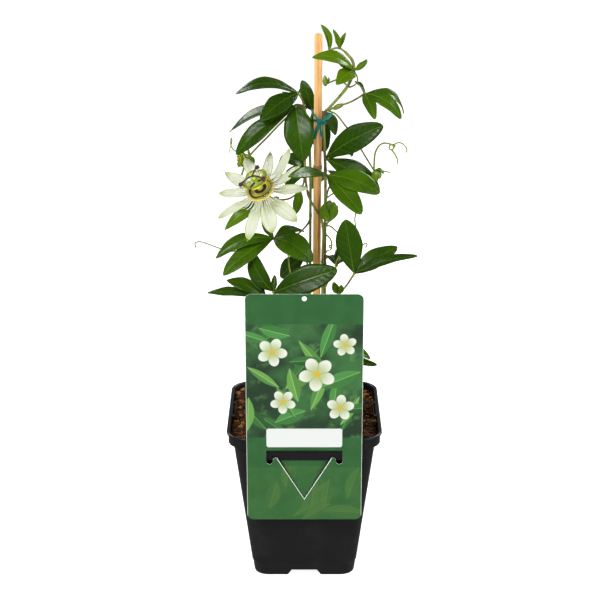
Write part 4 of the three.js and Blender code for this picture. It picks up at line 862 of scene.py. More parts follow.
def pot_paint():
    """Black moulded plastic, satin, with fine scuffs and dust."""
    paint = Paint("pot_plastic", specular_ior_level=0.3)
    dust = paint.noise(28, 5, roughness=0.7).fade(0.5, 0.8)
    scuffs = paint.noise(60, 4, paint.stretched(6, 6, 0.35)).fade(0.55, 0.75)
    paint.colour(paint.mix(dust * 0.5, (0.0075, 0.0075, 0.0077), (0.021, 0.020, 0.019)))
    paint.set("Roughness", dust.scaled(0.12, scuffs.scaled(0.12, 0.32)))
    paint.bump(scuffs.scaled(0.25, paint.noise(1500, 2)), 0.12, 0.0002)
    return paint.material


def peat_paint():
    """Dark brown crumbs, redder and paler ones among them."""
    paint = Paint("peat", roughness=0.95, specular_ior_level=0.1)
    coarse = paint.noise(160, 5, roughness=0.7).fade(0.35, 0.7)
    brown = paint.mix(coarse, (0.010, 0.004, 0.0012), (0.120, 0.048, 0.015))
    paint.colour(paint.mix(paint.tint().fade(0.55, 1.0), brown, (0.36, 0.165, 0.060)))
    paint.bump(paint.noise(900, 5, roughness=0.8), 0.9, 0.0012)
    return paint.material


def cane_paint():
    """Tan bamboo with streaks along it, browner at the nodes and in patches that grow towards the soil, and
    more orange towards the soil: partly its own tone, partly painted light that offsets the shade of the
    leaves on its lower part.
    """
    paint = Paint("bamboo", roughness=0.38, specular_ior_level=0.25)
    along = paint.marks()[0]
    streaks = paint.noise(170, 5, paint.stretched(1, 1, 0.03), roughness=0.7)
    tan = paint.mix(streaks.fade(0.35, 0.68), (0.94, 0.59, 0.27), (0.60, 0.29, 0.095))
    # More orange and brighter towards the soil: partly the cane's own tone, partly painted light that offsets
    # the shade the leaves throw there.
    brown = paint.mix(streaks, (1.0, 0.53, 0.15), (0.72, 0.30, 0.06))
    lower_orange_and_painted_light = paint.mix(along.fade(0.45, 0.92, 0.75, 0.1), tan, brown)
    patches = paint.noise(26, 4, paint.stretched(5, 5, 0.22)).fade(0.52, 0.62, 0, 0.85)
    spotted = paint.mix(patches * along.fade(0.50, 0.98, 1.0, 0.2), lower_orange_and_painted_light, (0.20, 0.075, 0.018))
    nodes = 0.0
    for place in CANE_NODES:
        ring = abs(along - place).fade(0.0012, 0.005, 1, 0)
        nodes = paint.made("ShaderNodeMath", (nodes, ring), operation="MAXIMUM")
    paint.colour(paint.mix(nodes * 0.65, spotted, (0.16, 0.075, 0.03)))
    paint.bump(streaks, 0.35, 0.0004)
    return paint.material


def tie_paint():
    """Teal plastic with soft folds, darker in their hollows as painted shade."""
    paint = Paint("tie_band", roughness=0.35, specular_ior_level=0.25)
    folds_and_painted_shade = paint.noise(500, 3)
    # Painted shade: the same noise as the folds' bump, so the hollows are dark teal and the ridges light
    # teal.
    paint.colour(paint.mix(folds_and_painted_shade, (0.002, 0.095, 0.085), (0.006, 0.24, 0.205)))
    paint.bump(folds_and_painted_shade, 0.4, 0.0004)
    paint.glow_through(0.12, (0.006, 0.30, 0.25))
    return paint.material


def printed_leaf(paint, x, z, place, shades):
    """Where one drawn leaf covers the print, and its colour: one half lighter, with a pale midrib."""
    centre_x, centre_z, half_length, half_width, turn = place
    over_x, over_z = x - centre_x, z - centre_z
    share = (over_x * math.cos(turn) + over_z * math.sin(turn)) / half_length
    across = over_z * math.cos(turn) - over_x * math.sin(turn)
    aside = abs(across)
    inside = ((share * share).scaled(-half_width, half_width) - aside).fade(-0.0003, 0.0006)
    colour = paint.mix(across.fade(-0.0004, 0.0004), shades[0], shades[1])
    return inside, paint.mix(aside.fade(0.0002, 0.0006, 1, 0), colour, shades[2])


def printed_blossom(paint, x, z, place, picture):
    """The picture with a white five-petalled blossom on it."""
    centre_x, centre_z, size, turn = place
    over_x, over_z = x - centre_x, z - centre_z
    radius = (over_x * over_x + over_z * over_z).math("SQRT")
    petals = abs(over_z.math("ARCTAN2", over_x).scaled(2.5, turn).math("COSINE"))
    inside = (petals.scaled(0.42 * size, 0.60 * size) - radius).fade(-0.0003, 0.0005)
    share = radius / size
    petal = paint.mix(share.fade(0.2, 1.0), (0.36, 0.42, 0.20), (0.60, 0.62, 0.55))
    petal = paint.mix(petals.fade(0.0, 0.35, 0.7, 0), petal, (0.22, 0.30, 0.10))
    return paint.mix(inside, picture, paint.mix(share.fade(0.16, 0.24, 1, 0), petal, (0.48, 0.36, 0.03)))


def print_paint():
    """The label's print: green bands, drawn leaves with white blossoms, and a white panel."""
    paint = Paint("label_print", roughness=0.28, specular_ior_level=0.25)
    x, _, z = paint.split(paint.place)
    fine = paint.noise(75, 3)
    picture = paint.mix(paint.noise(22, 3).fade(0.38, 0.66), (0.018, 0.040, 0.020), (0.040, 0.130, 0.040))
    picture = paint.mix(fine.fade(0.55, 0.75, 0, 0.5), picture, (0.10, 0.24, 0.075))
    draw = random.Random(8)
    greens = (((0.022, 0.085, 0.024), (0.036, 0.130, 0.034), (0.09, 0.22, 0.06)),
              ((0.040, 0.155, 0.036), (0.060, 0.215, 0.050), (0.14, 0.32, 0.09)),
              ((0.075, 0.200, 0.040), (0.110, 0.280, 0.055), (0.20, 0.38, 0.12)))
    for number in range(PRINTED_LEAVES):
        place = (draw.uniform(-0.055, 0.055), draw.uniform(0.172, 0.268), draw.uniform(0.013, 0.024),
                 draw.uniform(0.004, 0.0075), draw.uniform(0, TURN))
        inside, leaf = printed_leaf(paint, x, z, place, greens[number % 3])
        picture = paint.mix(inside, picture, leaf)
    for place in BLOSSOMS:
        picture = printed_blossom(paint, x, z, place, picture)
    band = paint.mix(fine.fade(0.3, 0.8), (0.022, 0.094, 0.026), (0.028, 0.108, 0.031))
    lower = paint.mix(fine.fade(0.3, 0.7), (0.027, 0.102, 0.027), (0.036, 0.118, 0.031))
    pale = ((0.044, 0.122, 0.030), (0.056, 0.140, 0.032), (0.075, 0.165, 0.045))
    for _ in range(PRINTED_SHADOWS):
        place = (draw.uniform(-0.05, 0.05), draw.uniform(0.082, 0.124), draw.uniform(0.014, 0.022),
                 draw.uniform(0.005, 0.008), draw.uniform(0, TURN))
        inside, leaf = printed_leaf(paint, x, z, place, pale)
        lower = paint.mix(inside * 0.7, lower, leaf)
    colour = lower
    for edge, above in ((0.1300, band), (0.1612, picture), (0.2755, band)):
        colour = paint.mix(z.fade(edge, edge + 0.0004), colour, above)
    width = abs(x)
    past_x = (width - (PANEL_HALF - PANEL_CORNER) * MM).most(0.0)
    past_z = (abs(z - PANEL_HEIGHT * MM) - (PANEL_HIGH - PANEL_CORNER) * MM).most(0.0)
    outside = (past_x * past_x + past_z * past_z).math("SQRT") - PANEL_CORNER * MM
    colour = paint.mix(outside.fade(-0.0002, 0.0002, 1, 0), colour, (0.60, 0.62, 0.60))
    paint.colour(paint.mix(cut_line(width, z), colour, (0.62, 0.66, 0.60)))
    paint.bump(paint.noise(30, 2), 0.12, 0.0006)
    return paint.material


def cut_line(width, z):
    """The thin white edge that the card's cutting leaves below the tongue and along the label's sides."""
    run, drop = TONGUE_HALF * MM, (TONGUE_SHOULDER - APEX) * MM
    length = math.hypot(run, drop)
    below = width * (drop / length) - z.scaled(run / length, -APEX * MM * run / length)
    low = z.fade((APEX - 3) * MM, (APEX - 2.6) * MM)
    high = z.fade((TONGUE_SHOULDER - 1) * MM, (TONGUE_SHOULDER - 0.6) * MM, 1, 0)
    line = abs(below - 0.0002).fade(0.0002, 0.0004, 1, 0) * (low * high)
    return line.most(width.fade((LABEL_HALF - 0.6) * MM, (LABEL_HALF - 0.4) * MM, 0, 0.7))


# ---------------------------------------------------------------- pot, soil, cane, tie and label


def square_ring(half, radius, z, corner_steps=10, edge_steps=6):
    """Points round a square with rounded corners."""
    radius = min(radius, half)
    inner = half - radius
    ring = []
    for corner, (sign_x, sign_y) in enumerate(((1, 1), (-1, 1), (-1, -1), (1, -1))):
        turn = corner * TURN / 4
        for i in range(corner_steps + 1):
            angle = turn + TURN / 4 * i / corner_steps
            ring.append(Vector((inner * sign_x + radius * math.cos(angle),
                                inner * sign_y + radius * math.sin(angle), z)))
        following = turn + TURN / 4
        ahead = Vector((-math.sin(following), math.cos(following), 0))
        for _ in range(1, edge_steps):
            ring.append(ring[-1] + ahead * (2 * inner / edge_steps))
    return ring


def ringed_form(rings, tint=0.5):
    """A closed body through rings of points."""
    form = Form()
    form.add([p for ring in rings for p in ring], capped(len(rings), len(rings[0])), tint=tint)
    return form


def plate_form(outline, front, back):
    """A flat upright body with its outline in x and z, between two values of y."""
    count = len(outline)
    faces = [tuple(range(count)), tuple(range(2 * count - 1, count - 1, -1))]
    faces += [(i, count + i, count + (i + 1) % count, (i + 1) % count) for i in range(count)]
    form = Form()
    form.add([(x, y, z) for y in (front, back) for x, z in outline], faces)
    return form


def block_form(low, high):
    outline = [(low[0], low[2]), (high[0], low[2]), (high[0], high[2]), (low[0], high[2])]
    return plate_form(outline, low[1], high[1])


def turned_to_side(form, side):
    turn = Matrix.Rotation(side * TURN / 4, 3, "Z")
    return form.moved(lambda p: turn @ p)


def loose(form, name="tool"):
    """A form as an object that is worked on or cut with."""
    mesh = bare_mesh(name, form)
    face_out(mesh)
    return placed(name, mesh)


def carved(obj, forms, operation):
    tools = [loose(form) for form in forms]
    for tool in tools:
        change = obj.modifiers.new("change", "BOOLEAN")
        change.operation = operation
        change.solver = "EXACT"
        change.object = tool
    settle(obj)
    for tool in tools:
        bpy.data.objects.remove(tool, do_unlink=True)


def evaluated_mesh(obj):
    return bpy.data.meshes.new_from_object(obj.evaluated_get(bpy.context.evaluated_depsgraph_get()))


def settle(obj):
    """Turns an object's modifiers into its mesh."""
    shaped = evaluated_mesh(obj)
    obj.modifiers.clear()
    obj.data = shaped


def softened(obj, width):
    """Rounds the edges that are sharp."""
    edge = obj.modifiers.new("edges", "BEVEL")
    edge.width = width * MM
    edge.segments = 2
    edge.limit_method = "ANGLE"
    edge.angle_limit = math.radians(SHARP_ANGLE)
    settle(obj)


def shade_by_angle(obj):
    for face in obj.data.polygons:
        face.use_smooth = True
    editable = bmesh.new()
    editable.from_mesh(obj.data)
    for edge in editable.edges:
        edge.smooth = edge.calc_face_angle(0) < math.radians(SHARP_ANGLE)
    editable.to_mesh(obj.data)
    editable.free()


def wall_half(z):
    return BASE_HALF + (WALL_TOP_HALF - BASE_HALF) / BAND_BOTTOM * min(z, BAND_BOTTOM)


def pot_levels():
    """Rounded squares up the pot's outside, over its lip and down its inside."""
    top = POT_HEIGHT
    step = FOOT_STEP_HEIGHT
    floor = FOOT_HEIGHT + FLOOR
    lip = top - LIP_HEIGHT
    ledge = BAND_BOTTOM + WALL
    inner = BAND_HALF - WALL
    inner_radius = BAND_RADIUS - WALL
    wall_inner = WALL_TOP_HALF - WALL
    behind = BAND_HALF - APRON_THICKNESS
    skirt_bottom = BAND_BOTTOM - SKIRT
    wall = []
    for share in (0.2, 0.4, 0.6, 0.8, 1):
        z = step + 1.2 + (BAND_BOTTOM - step - 1.2) * share
        wall.append((wall_half(z), BASE_RADIUS + (WALL_RADIUS - BASE_RADIUS) * z / BAND_BOTTOM, z))
    return [
        (wall_half(0) - FOOT_STEP - 0.8, BASE_RADIUS - 0.8, 0),
        (wall_half(0) - FOOT_STEP - 0.2, BASE_RADIUS, 0.3),
        (wall_half(0) - FOOT_STEP, BASE_RADIUS, 0.9),
        (wall_half(step) - FOOT_STEP, BASE_RADIUS, step),
        (wall_half(step) + 0.1, BASE_RADIUS, step + 0.4),
        (wall_half(step) + 0.1, BASE_RADIUS, step + 1.2),
        *wall,
        (behind, BAND_RADIUS - APRON_THICKNESS, BAND_BOTTOM),
        (behind, BAND_RADIUS - APRON_THICKNESS, skirt_bottom),
        (BAND_HALF - 0.3, BAND_RADIUS, skirt_bottom),
        (BAND_HALF, BAND_RADIUS, skirt_bottom + 0.3),
        (BAND_HALF, BAND_RADIUS, lip),
        (RIM_HALF - 0.4, RIM_RADIUS, lip),
        (RIM_HALF, RIM_RADIUS, lip + 0.4),
        (RIM_HALF, RIM_RADIUS, top - 1.0),
        (RIM_HALF - 0.2, RIM_RADIUS, top - 0.4),
        (RIM_HALF - 0.8, RIM_RADIUS, top),
        (inner + 0.9, inner_radius, top - 0.1),
        (inner + 0.25, inner_radius, top - 0.5),
        (inner, inner_radius, top - 1.2),
        (inner, inner_radius, ledge + 0.4),
        (inner - 0.4, inner_radius, ledge),
        (wall_inner + 0.3, WALL_RADIUS - WALL, ledge),
        (wall_inner, WALL_RADIUS - WALL, ledge - 0.4),
        (wall_half(floor) - WALL + 1, BASE_RADIUS - WALL, floor + 2),
        (wall_half(floor) - WALL - 0.5, BASE_RADIUS - WALL, floor),
    ]


def apron_outline():
    """The plate that hangs from the band and holds a label, in x and z."""
    half = APRON_WIDTH / 2
    low_half = half - APRON_TAPER
    bottom = POT_HEIGHT - APRON_DROP
    right = [(low_half - 2, bottom), (low_half - 0.5, bottom + 0.6), (low_half + 0.2, bottom + 2),
             (half - 0.6, BAND_BOTTOM + 1)]
    return [(-x, z) for x, z in reversed(right)] + right


def make_pot():
    top = POT_HEIGHT
    inner = BAND_HALF - WALL
    pot = loose(ringed_form([square_ring(*level) for level in pot_levels()]), "pot_body")
    added = []
    holes = []
    back = -BAND_HALF + APRON_THICKNESS
    slit_top = top - SLIT_DROP
    for side in LABEL_SIDES:
        added.append(turned_to_side(plate_form(apron_outline(), -BAND_HALF, back), side))
        slit = block_form((-SLIT_WIDTH / 2, -BAND_HALF - 1, slit_top - SLIT_HEIGHT),
                          (SLIT_WIDTH / 2, back + 1, slit_top))
        holes.append(turned_to_side(slit, side))
    for side in range(4):
        drain = Form()
        lathe(drain, [(0, 0), (DRAIN_RADIUS, 0), (DRAIN_RADIUS, 12), (0, 12)], 32)
        drain.moved(lambda p: p + Vector((0, -DRAIN_OFFSET, 3)))
        holes.append(turned_to_side(drain, side))
    for side in LOOP_SIDES:
        loop = block_form((-LOOP_HALF, -inner - 0.8, top - FLANGE), (LOOP_HALF, -inner + 3, top - 0.1))
        gap = block_form((-LOOP_GAP_HALF, -inner + 0.6, top - 2 * FLANGE),
                         (LOOP_GAP_HALF, -inner + 2.4, top + FLANGE))
        added.append(turned_to_side(loop, side))
        holes.append(turned_to_side(gap, side))
    notch = [(-NOTCH_BOTTOM / 2, -1), (NOTCH_BOTTOM / 2, -1), (NOTCH_TOP / 2, FOOT_HEIGHT),
             (-NOTCH_TOP / 2, FOOT_HEIGHT)]
    for side in (0, 1):
        holes.append(turned_to_side(plate_form(notch, -80, 80), side))
    carved(pot, added, "UNION")
    carved(pot, holes, "DIFFERENCE")
    softened(pot, 0.25)
    shade_by_angle(pot)
    pot.data.materials.clear()
    pot.data.materials.append(pot_paint())
    dressed(pot, ["pot"])


def soil_height(x, y):
    place = Vector((x, y, 0))
    return (SOIL_TOP + 1.3 * noise.noise(place / 26) + 1.1 * noise.noise(place / 9 + Vector((5, 0, 0)))
            + 0.7 * noise.noise(place / 3.5))


def make_soil():
    inset = WALL + 0.3
    bottom = FOOT_HEIGHT + FLOOR + 0.4
    step = BAND_BOTTOM + inset
    top_half = BAND_HALF - inset
    levels = [
        (wall_half(bottom) - inset - 1, BASE_RADIUS - inset, bottom),
        (WALL_TOP_HALF - inset, WALL_RADIUS - inset, BAND_BOTTOM),
        (WALL_TOP_HALF - inset, WALL_RADIUS - inset, step),
        (top_half, BAND_RADIUS - inset, step + 0.05),
    ]
    rings = [square_ring(*level, 14, 22) for level in levels]
    for number in range(SOIL_RINGS):
        share = 1 - number / SOIL_RINGS
        ring = square_ring(top_half * share, (BAND_RADIUS - inset) * share, 0, 14, 22)
        rings.append([Vector((p.x, p.y, max(soil_height(p.x, p.y), step + 0.1))) for p in ring])
    form = ringed_form(rings, 0.25)
    draw = random.Random(11)
    for _ in range(CRUMBS):
        x, y = (draw.uniform(-top_half + 1.5, top_half - 1.5) for _ in range(2))
        if math.hypot(max(abs(x) - top_half + 16, 0), max(abs(y) - top_half + 16, 0)) > 14.5:
            continue
        size = 0.5 + 2.1 * draw.random() ** 3
        shape = [size * draw.uniform(0.7, 1.3), size * draw.uniform(0.7, 1.3), size * draw.uniform(0.5, 1)]
        centre = (x, y, soil_height(x, y) + 0.25 * size)
        tint = draw.choice((0.1, 0.3, 0.5, 0.5, 0.7, 0.9)) if draw.random() > 0.05 else 1.0
        ball(form, centre, shape, 2 if size > 1.6 else 1, 0, tint, 0.9, draw.uniform(0, 50))
    for _ in range(FIBRES):
        x, y = (draw.uniform(-top_half + 8, top_half - 8) for _ in range(2))
        heading = draw.uniform(0, TURN)
        points = []
        for _ in range(4):
            heading += draw.uniform(-0.8, 0.8)
            x += 2.2 * math.cos(heading)
            y += 2.2 * math.sin(heading)
            points.append((x, y, soil_height(x, y) + 0.3 + 0.9 * draw.random()))
        if max(abs(x), abs(y)) < top_half - 2:
            tube(form, points, 0.22, 5, 1.2, 0, draw.choice((0.2, 0.6, 0.9)), 0.5)
    piece("peat_bed", form, [peat_paint()], ["soil"], "peat")


def make_cane():
    foot = Vector(CANE_FOOT)
    rod = Vector(CANE_TOP) - foot
    length = rod.length
    heights = [place * length for place in CANE_NODES]
    shaft = []
    for z in range(6, math.ceil(length - 5), 8):
        if all(abs(z - height) > 11 for height in heights):
            shaft.append((CANE_RADIUS - 0.05 + 0.1 * noise.noise(Vector((0, 0, z / 30))), z))
    bands = ((-9, 0), (-5, 0.1), (-2.4, 0.3), (-1.0, 0.55), (-0.35, 0.42), (0, 0.12), (0.35, 0.45),
             (0.9, 0.5), (2, 0.12), (4, -0.1), (9, -0.05))
    for height in heights:
        shaft += [(CANE_RADIUS + grown, height + shift) for shift, grown in bands]
    shaft.sort(key=lambda row: row[1])
    profile = [(0, 0), (CANE_RADIUS - 0.6, 0), (CANE_RADIUS - 0.2, 0.5), *shaft,
               (CANE_RADIUS - 0.1, length - 0.8), (CANE_RADIUS - 0.35, length - 0.2),
               (CANE_RADIUS - 0.8, length), (1.7, length), (1.3, length - 0.5), (0.9, length - 2.2),
               (0, length - 2.4)]

    def grown_out(point):
        if math.hypot(point.x, point.y) < 0.01:
            return point
        angle = math.atan2(point.y, point.x)
        wave = noise.noise(Vector((2 * math.cos(angle), 2 * math.sin(angle), point.z / 60)))
        return Vector((point.x, point.y, 0)) * (1 + 0.018 * wave) + Vector((0, 0, point.z))

    form = Form()
    lathe(form, profile, CANE_SIDES, shape=grown_out)
    form.marks = [(height / length, around, height) for _, around, height in form.marks]
    form.moved(aimed(foot, rod))
    piece("bamboo_cane", form, [cane_paint()], ["cane"], "bamboo")


def cane_place(z):
    return Vector(CANE_FOOT).lerp(Vector(CANE_TOP), (z - CANE_FOOT[2]) / (CANE_TOP[2] - CANE_FOOT[2]))


def hull_round(first, second, spare):
    """Points on a band pulled tight round two upright rods given as (x, y, radius)."""
    ring = []
    gap = Vector((second[0] - first[0], second[1] - first[1]))
    heading = math.atan2(gap.y, gap.x)
    tilt = math.asin((first[2] - second[2]) / gap.length)
    for (x, y, radius), low, high in ((second, -TURN / 4 + tilt, TURN / 4 - tilt),
                                      (first, TURN / 4 - tilt, 3 * TURN / 4 + tilt)):
        for i in range(BAND_STEPS + 1):
            angle = heading + low + (high - low) * i / BAND_STEPS
            ring.append((x + (radius + spare) * math.cos(angle), y + (radius + spare) * math.sin(angle)))
    return ring


def make_tie():
    form = Form()
    cane = cane_place(TIE_HEIGHT)
    rods = ((cane.x, cane.y, CANE_RADIUS), (*TIED_STEM, STEMS["stem_right"][0]))
    inner = hull_round(*rods, 0.3)
    for lift, tilt in ((0.2, 0.03), (-1.1, -0.05)):
        points = []
        for (ix, iy), (ox, oy) in zip(inner, hull_round(*rods, 1.0)):
            z = TIE_HEIGHT + lift + tilt * (ix - cane.x) * 3
            x, y = (ix + ox) / 2, (iy + oy) / 2
            points += [(ix, iy, z - 0.7), (x, y, z - 1.0), (ox, oy, z - 0.7), (ox, oy, z + 0.7),
                       (x, y, z + 1.0), (ix, iy, z + 0.7)]
        form.add(points, looped(len(inner), 6))
    knot = Vector(TIE_KNOT)
    ball(form, knot, (2.3, 1.9, 2.3), 4, lumps=0.5, seed=3)
    for k in range(3):
        turn = TURN * k / 3 + 0.4
        loop = [
            knot + Vector((2.2 * math.cos(turn + a), -0.9 - 0.8 * math.sin(2 * a), 2.2 * math.sin(turn + a)))
            for a in (0, 0.8, 1.6, 2.4, 3.1)
        ]
        tube(form, loop, 0.75, 10, 0.6, thin=0.8)
    for tip, width, bow, sway, face in TIE_TAILS:

        def half_at(t, u):
            return width / 2 * math.sin(math.pi * min(0.06 + 0.88 * t, 0.8)) ** 0.35

        def rise_at(t, u, half):
            rise = 0.28 * half * abs(u) + 0.35 * math.sin(7 * t + 2 * u + width) * (0.3 + abs(u))
            return rise, rise

        spine = Spine(knot + Vector((0, -0.6, 0)), tip, looking(*face), bow, sway)
        blade(form, spine, 26, 5, half_at, rise_at, 0.35, 0, 0.5, lambda t, u, half: (t, u, half))
    form.finishes = [0] * len(form.finishes)
    piece("tie_band", form, [tie_paint()], ["tie"], "tie_band")


def label_outline():
    """The label's corners and straight edges, anticlockwise from the front's lower right."""
    r = LABEL_CORNER
    outline = []
    for x, z, start in ((LABEL_HALF - r, LABEL_BOTTOM + r, -0.25), (LABEL_HALF - r, LABEL_TOP - r, 0),
                        (-LABEL_HALF + r, LABEL_TOP - r, 0.25), (-LABEL_HALF + r, LABEL_BOTTOM + r, 0.5)):
        for i in range(ARC_STEPS + 1):
            angle = TURN * (start + 0.25 * i / ARC_STEPS)
            outline.append((x + r * math.cos(angle), z + r * math.sin(angle)))
    return outline


def label_cutout():
    """The cut round the tongue, with a rounded lobe at each end of its fold."""
    r = LOBE / 2
    left = [(-SLOT_HALF, SLOT_TOP), (-SLOT_HALF, LOBE_BOTTOM + r)]
    for i in range(1, ARC_STEPS):
        angle = math.pi + math.pi * i / ARC_STEPS
        left.append((-SLOT_HALF + r + r * math.cos(angle), LOBE_BOTTOM + r + r * math.sin(angle)))
    left += [(-SLOT_HALF + LOBE, LOBE_BOTTOM + r + 1.5), (-SLOT_HALF + LOBE + 0.6, TONGUE_SHOULDER - 1.6),
             (-SLOT_HALF + LOBE + 1.6, TONGUE_SHOULDER - 0.4), (-TONGUE_HALF - 0.6, TONGUE_SHOULDER),
             (-TONGUE_HALF + 0.6, TONGUE_SHOULDER - 0.5), (-TONGUE_HALF + 1.6, TONGUE_SHOULDER - 2.2)]
    return left + [(0, APEX)] + [(-x, z) for x, z in reversed(left)]


def flat_plate(outline, holes, front, back):
    """A plate with true holes, made as a filled flat curve with thickness."""
    curve = bpy.data.curves.new("plate", "CURVE")
    curve.dimensions = "2D"
    curve.fill_mode = "BOTH"
    curve.extrude = MM * ((back - front) / 2 - PLATE_EDGE)
    curve.bevel_depth = PLATE_EDGE * MM
    curve.bevel_resolution = 1
    curve.offset = -PLATE_EDGE * MM
    for ring in (outline, *holes):
        line = curve.splines.new("POLY")
        line.points.add(len(ring) - 1)
        for point, (x, z) in zip(line.points, ring):
            point.co = (MM * x, MM * z, 0, 1)
        line.use_cyclic_u = True
    carrier = placed("plate", curve)
    mesh = evaluated_mesh(carrier)
    bpy.data.objects.remove(carrier, do_unlink=True)
    middle = MM * (front + back) / 2
    for vertex in mesh.vertices:
        x, z, depth = vertex.co
        vertex.co = (x, middle - depth, z)
    return mesh


def fold_mesh(front, depth):
    """The tongue's fold over the edge of its cut, from the card back to the tongue."""
    fold = Form()
    for i in range(FOLD_STEPS + 1):
        y = front + depth * (i / FOLD_STEPS)
        z = SLOT_TOP + 0.1 + 0.45 * math.sin(math.pi * (i / FOLD_STEPS))
        fold.points += [Vector((x, y, z + lift)) for x in (-FOLD_HALF, FOLD_HALF) for lift in (-0.3, 0.35)]
    last = 4 * FOLD_STEPS
    for a in range(0, last, 4):
        b = a + 4
        fold.faces += [(a + 1, a + 3, b + 3, b + 1), (a, b, b + 2, a + 2), (a, a + 1, b + 1, b),
                       (a + 2, b + 2, b + 3, a + 3)]
    fold.faces += [(0, 2, 3, 1), (last, last + 1, last + 3, last + 2)]
    return bare_mesh("fold", fold)


def make_label():
    front = -RIM_HALF - LABEL_GAP - LABEL_THICKNESS
    behind = -BAND_HALF + APRON_THICKNESS + 2 * LABEL_GAP
    hole = []
    for i in range(HOLE_SIDES):
        angle = TURN * i / HOLE_SIDES
        hole.append((HOLE_RADIUS * math.cos(angle), LABEL_TOP - HOLE_DROP + HOLE_RADIUS * math.sin(angle)))
    card = flat_plate(label_outline(), [hole, label_cutout()], front, front + LABEL_THICKNESS)
    top, shoulder = SLOT_TOP + LABEL_THICKNESS / 2, TONGUE_SHOULDER - 1
    upper_line = [(-FOLD_HALF, top), (-FOLD_HALF, shoulder), (FOLD_HALF, shoulder), (FOLD_HALF, top)]
    tip_line = [(-TONGUE_HALF + CUT, TONGUE_SHOULDER), (0, APEX + CUT), (TONGUE_HALF - CUT, TONGUE_SHOULDER)]
    upper = flat_plate(upper_line, [], behind, behind + LABEL_THICKNESS)
    tip = flat_plate(tip_line, [], behind, behind + LABEL_THICKNESS)
    for vertex in tip.vertices:
        vertex.co.y -= (TONGUE_SHOULDER * MM - vertex.co.z) * TONGUE_LEAN
    joined = bmesh.new()
    for plate in (card, upper, tip, fold_mesh(front, behind + LABEL_THICKNESS - front)):
        joined.from_mesh(plate)
    mesh = bpy.data.meshes.new("hanging_label")
    joined.to_mesh(mesh)
    joined.free()
    face_out(mesh)
    mesh.materials.append(print_paint())
    mesh.materials.append(plain_paint("label_core", (0.80, 0.80, 0.76), (0.86, 0.86, 0.83), 60, 0.4))
    for face in mesh.polygons:
        face.material_index = 0 if face.normal.y < -0.9 else 1
    label = placed("hanging_label", mesh)
    shade_by_angle(label)
    dressed(label, ["label"])


# ---------------------------------------------------------------- stems, leaves and buds


def leaf_rise(length, width, seed, fold, wave):
    """How a leaflet's two surfaces lie: folded, wavy, quilted between its side veins."""
    veins = max(5, round(length / VEIN_SPACING))
    slant = 0.75 / length

    def phase_at(t, u, half):
        return veins * (t - slant * half * abs(u) * (1 + 0.35 * abs(u))) + (0.5 if u > 0 else 0.0) + 20

    def rise_at(t, u, half):
        fold_rise = half * abs(u) * math.sin(math.radians(fold))
        margin = wave * math.sin(9 * t + 2 * (1 if u > 0 else -1)) * u * u
        ripple = 0.032 * width * u * u * noise.noise(Vector((seed, 5.5 * t, 1.5 * u)))
        soft = 0.018 * width * noise.noise(Vector((seed + 9, 3.2 * t, 1.3 * u)))
        between = math.cos(TURN * phase_at(t, u, half))
        quilt = 0.016 * width * between * abs(u) ** 0.6 * (1 - abs(u) ** 4) * math.sin(math.pi * t) ** 0.5
        down = -0.035 * width * max(abs(u) - 0.8, 0) / 0.2 * 0.5
        across = half * u
        groove = 0.30 * math.exp(-((across / 0.75) ** 2)) * (1 - 0.6 * t)
        ridge = 0.75 * math.exp(-((across / 0.85) ** 2)) * (1 - 0.75 * t)
        level = fold_rise + margin + ripple + soft + quilt + down
        return level - groove, level - ridge

    return rise_at, phase_at


def leaf_half(width, fullness, widest, seed=0.0):
    """Half the width along a leaflet, with a blunter tip than base and a slightly uneven margin."""

    def half_at(t, u):
        bare = max(math.sin(math.pi * min(max(t, 0), 1) ** widest), 0)
        power = fullness if t < 0.5 else fullness - 0.28 * fullness * (t - 0.5) * 2
        uneven = 1 + 0.09 * noise.noise(Vector((seed, 4 * t, 3 if u > 0 else 8)))
        return max(width / 2 * bare ** power * uneven, 0.28)

    return half_at


def leafy_blade(form, spine, rows, columns, half_at, surface, fold, thickness, finish, tint):
    """A folded blade whose marks are its veins' phase, the way across and the share along."""
    rise_at, phase_at = surface
    blade(form, spine, rows, columns, half_at, rise_at, thickness, finish, tint,
          lambda t, u, half: (phase_at(t, u, half), half * u, t), math.cos(math.radians(fold)))


def add_leaflet(form, hub, draw, tip, width, bow, face, fold,
                base=None, sway=0, widest=1, fullness=0.8, wave=0.5, stalked=False):
    base = Vector(base or hub)
    length = (Vector(tip) - base).length
    if stalked:
        tube(form, [hub, Vector(hub).lerp(base, 0.5) + Vector((0, 0, 0.5)), base], 0.7, 8, 1.5, STALK_FINISH)
    seed = draw.uniform(0, 100)
    rows = max(16, min(54, round(length / LEAF_ROW)))
    leafy_blade(form, Spine(base, tip, looking(*face), bow, sway), rows, 6,
                leaf_half(width, fullness, widest, seed), leaf_rise(length, width, seed, fold, wave), fold,
                LEAF_THICKNESS, 0, draw.uniform(0, 1))


def make_leaf(name, petiole, leaflets, others, paints):
    draw = random.Random(name)
    form = Form()
    hub = petiole[-1]
    tube(form, petiole, PETIOLE_RADIUS, 10, 1.6, STALK_FINISH,
         bumps=lambda s: 0.55 * math.exp(-s / 0.05) + 0.25 * math.exp(-(1 - s) / 0.06))
    ball(form, hub, (1.35, 1.35, 1.35), 2, STALK_FINISH, lumps=0.3, seed=draw.uniform(0, 9))
    for tip, width, bow, face, fold, *apart in leaflets:
        add_leaflet(form, hub, draw, tip, width, bow, face, fold, **dict(*apart))
    if "sheath" in others:
        add_bud(form, finish=STALK_FINISH, **others["sheath"])
    if "tendril" in others:
        tube(form, others["tendril"], TENDRIL_RADIUS, 8, 1, 3, thin=0.75)
    piece(name + "_blades", form, paints, [name], "leaf_young" if name in YOUNG_NODES else "leaf")


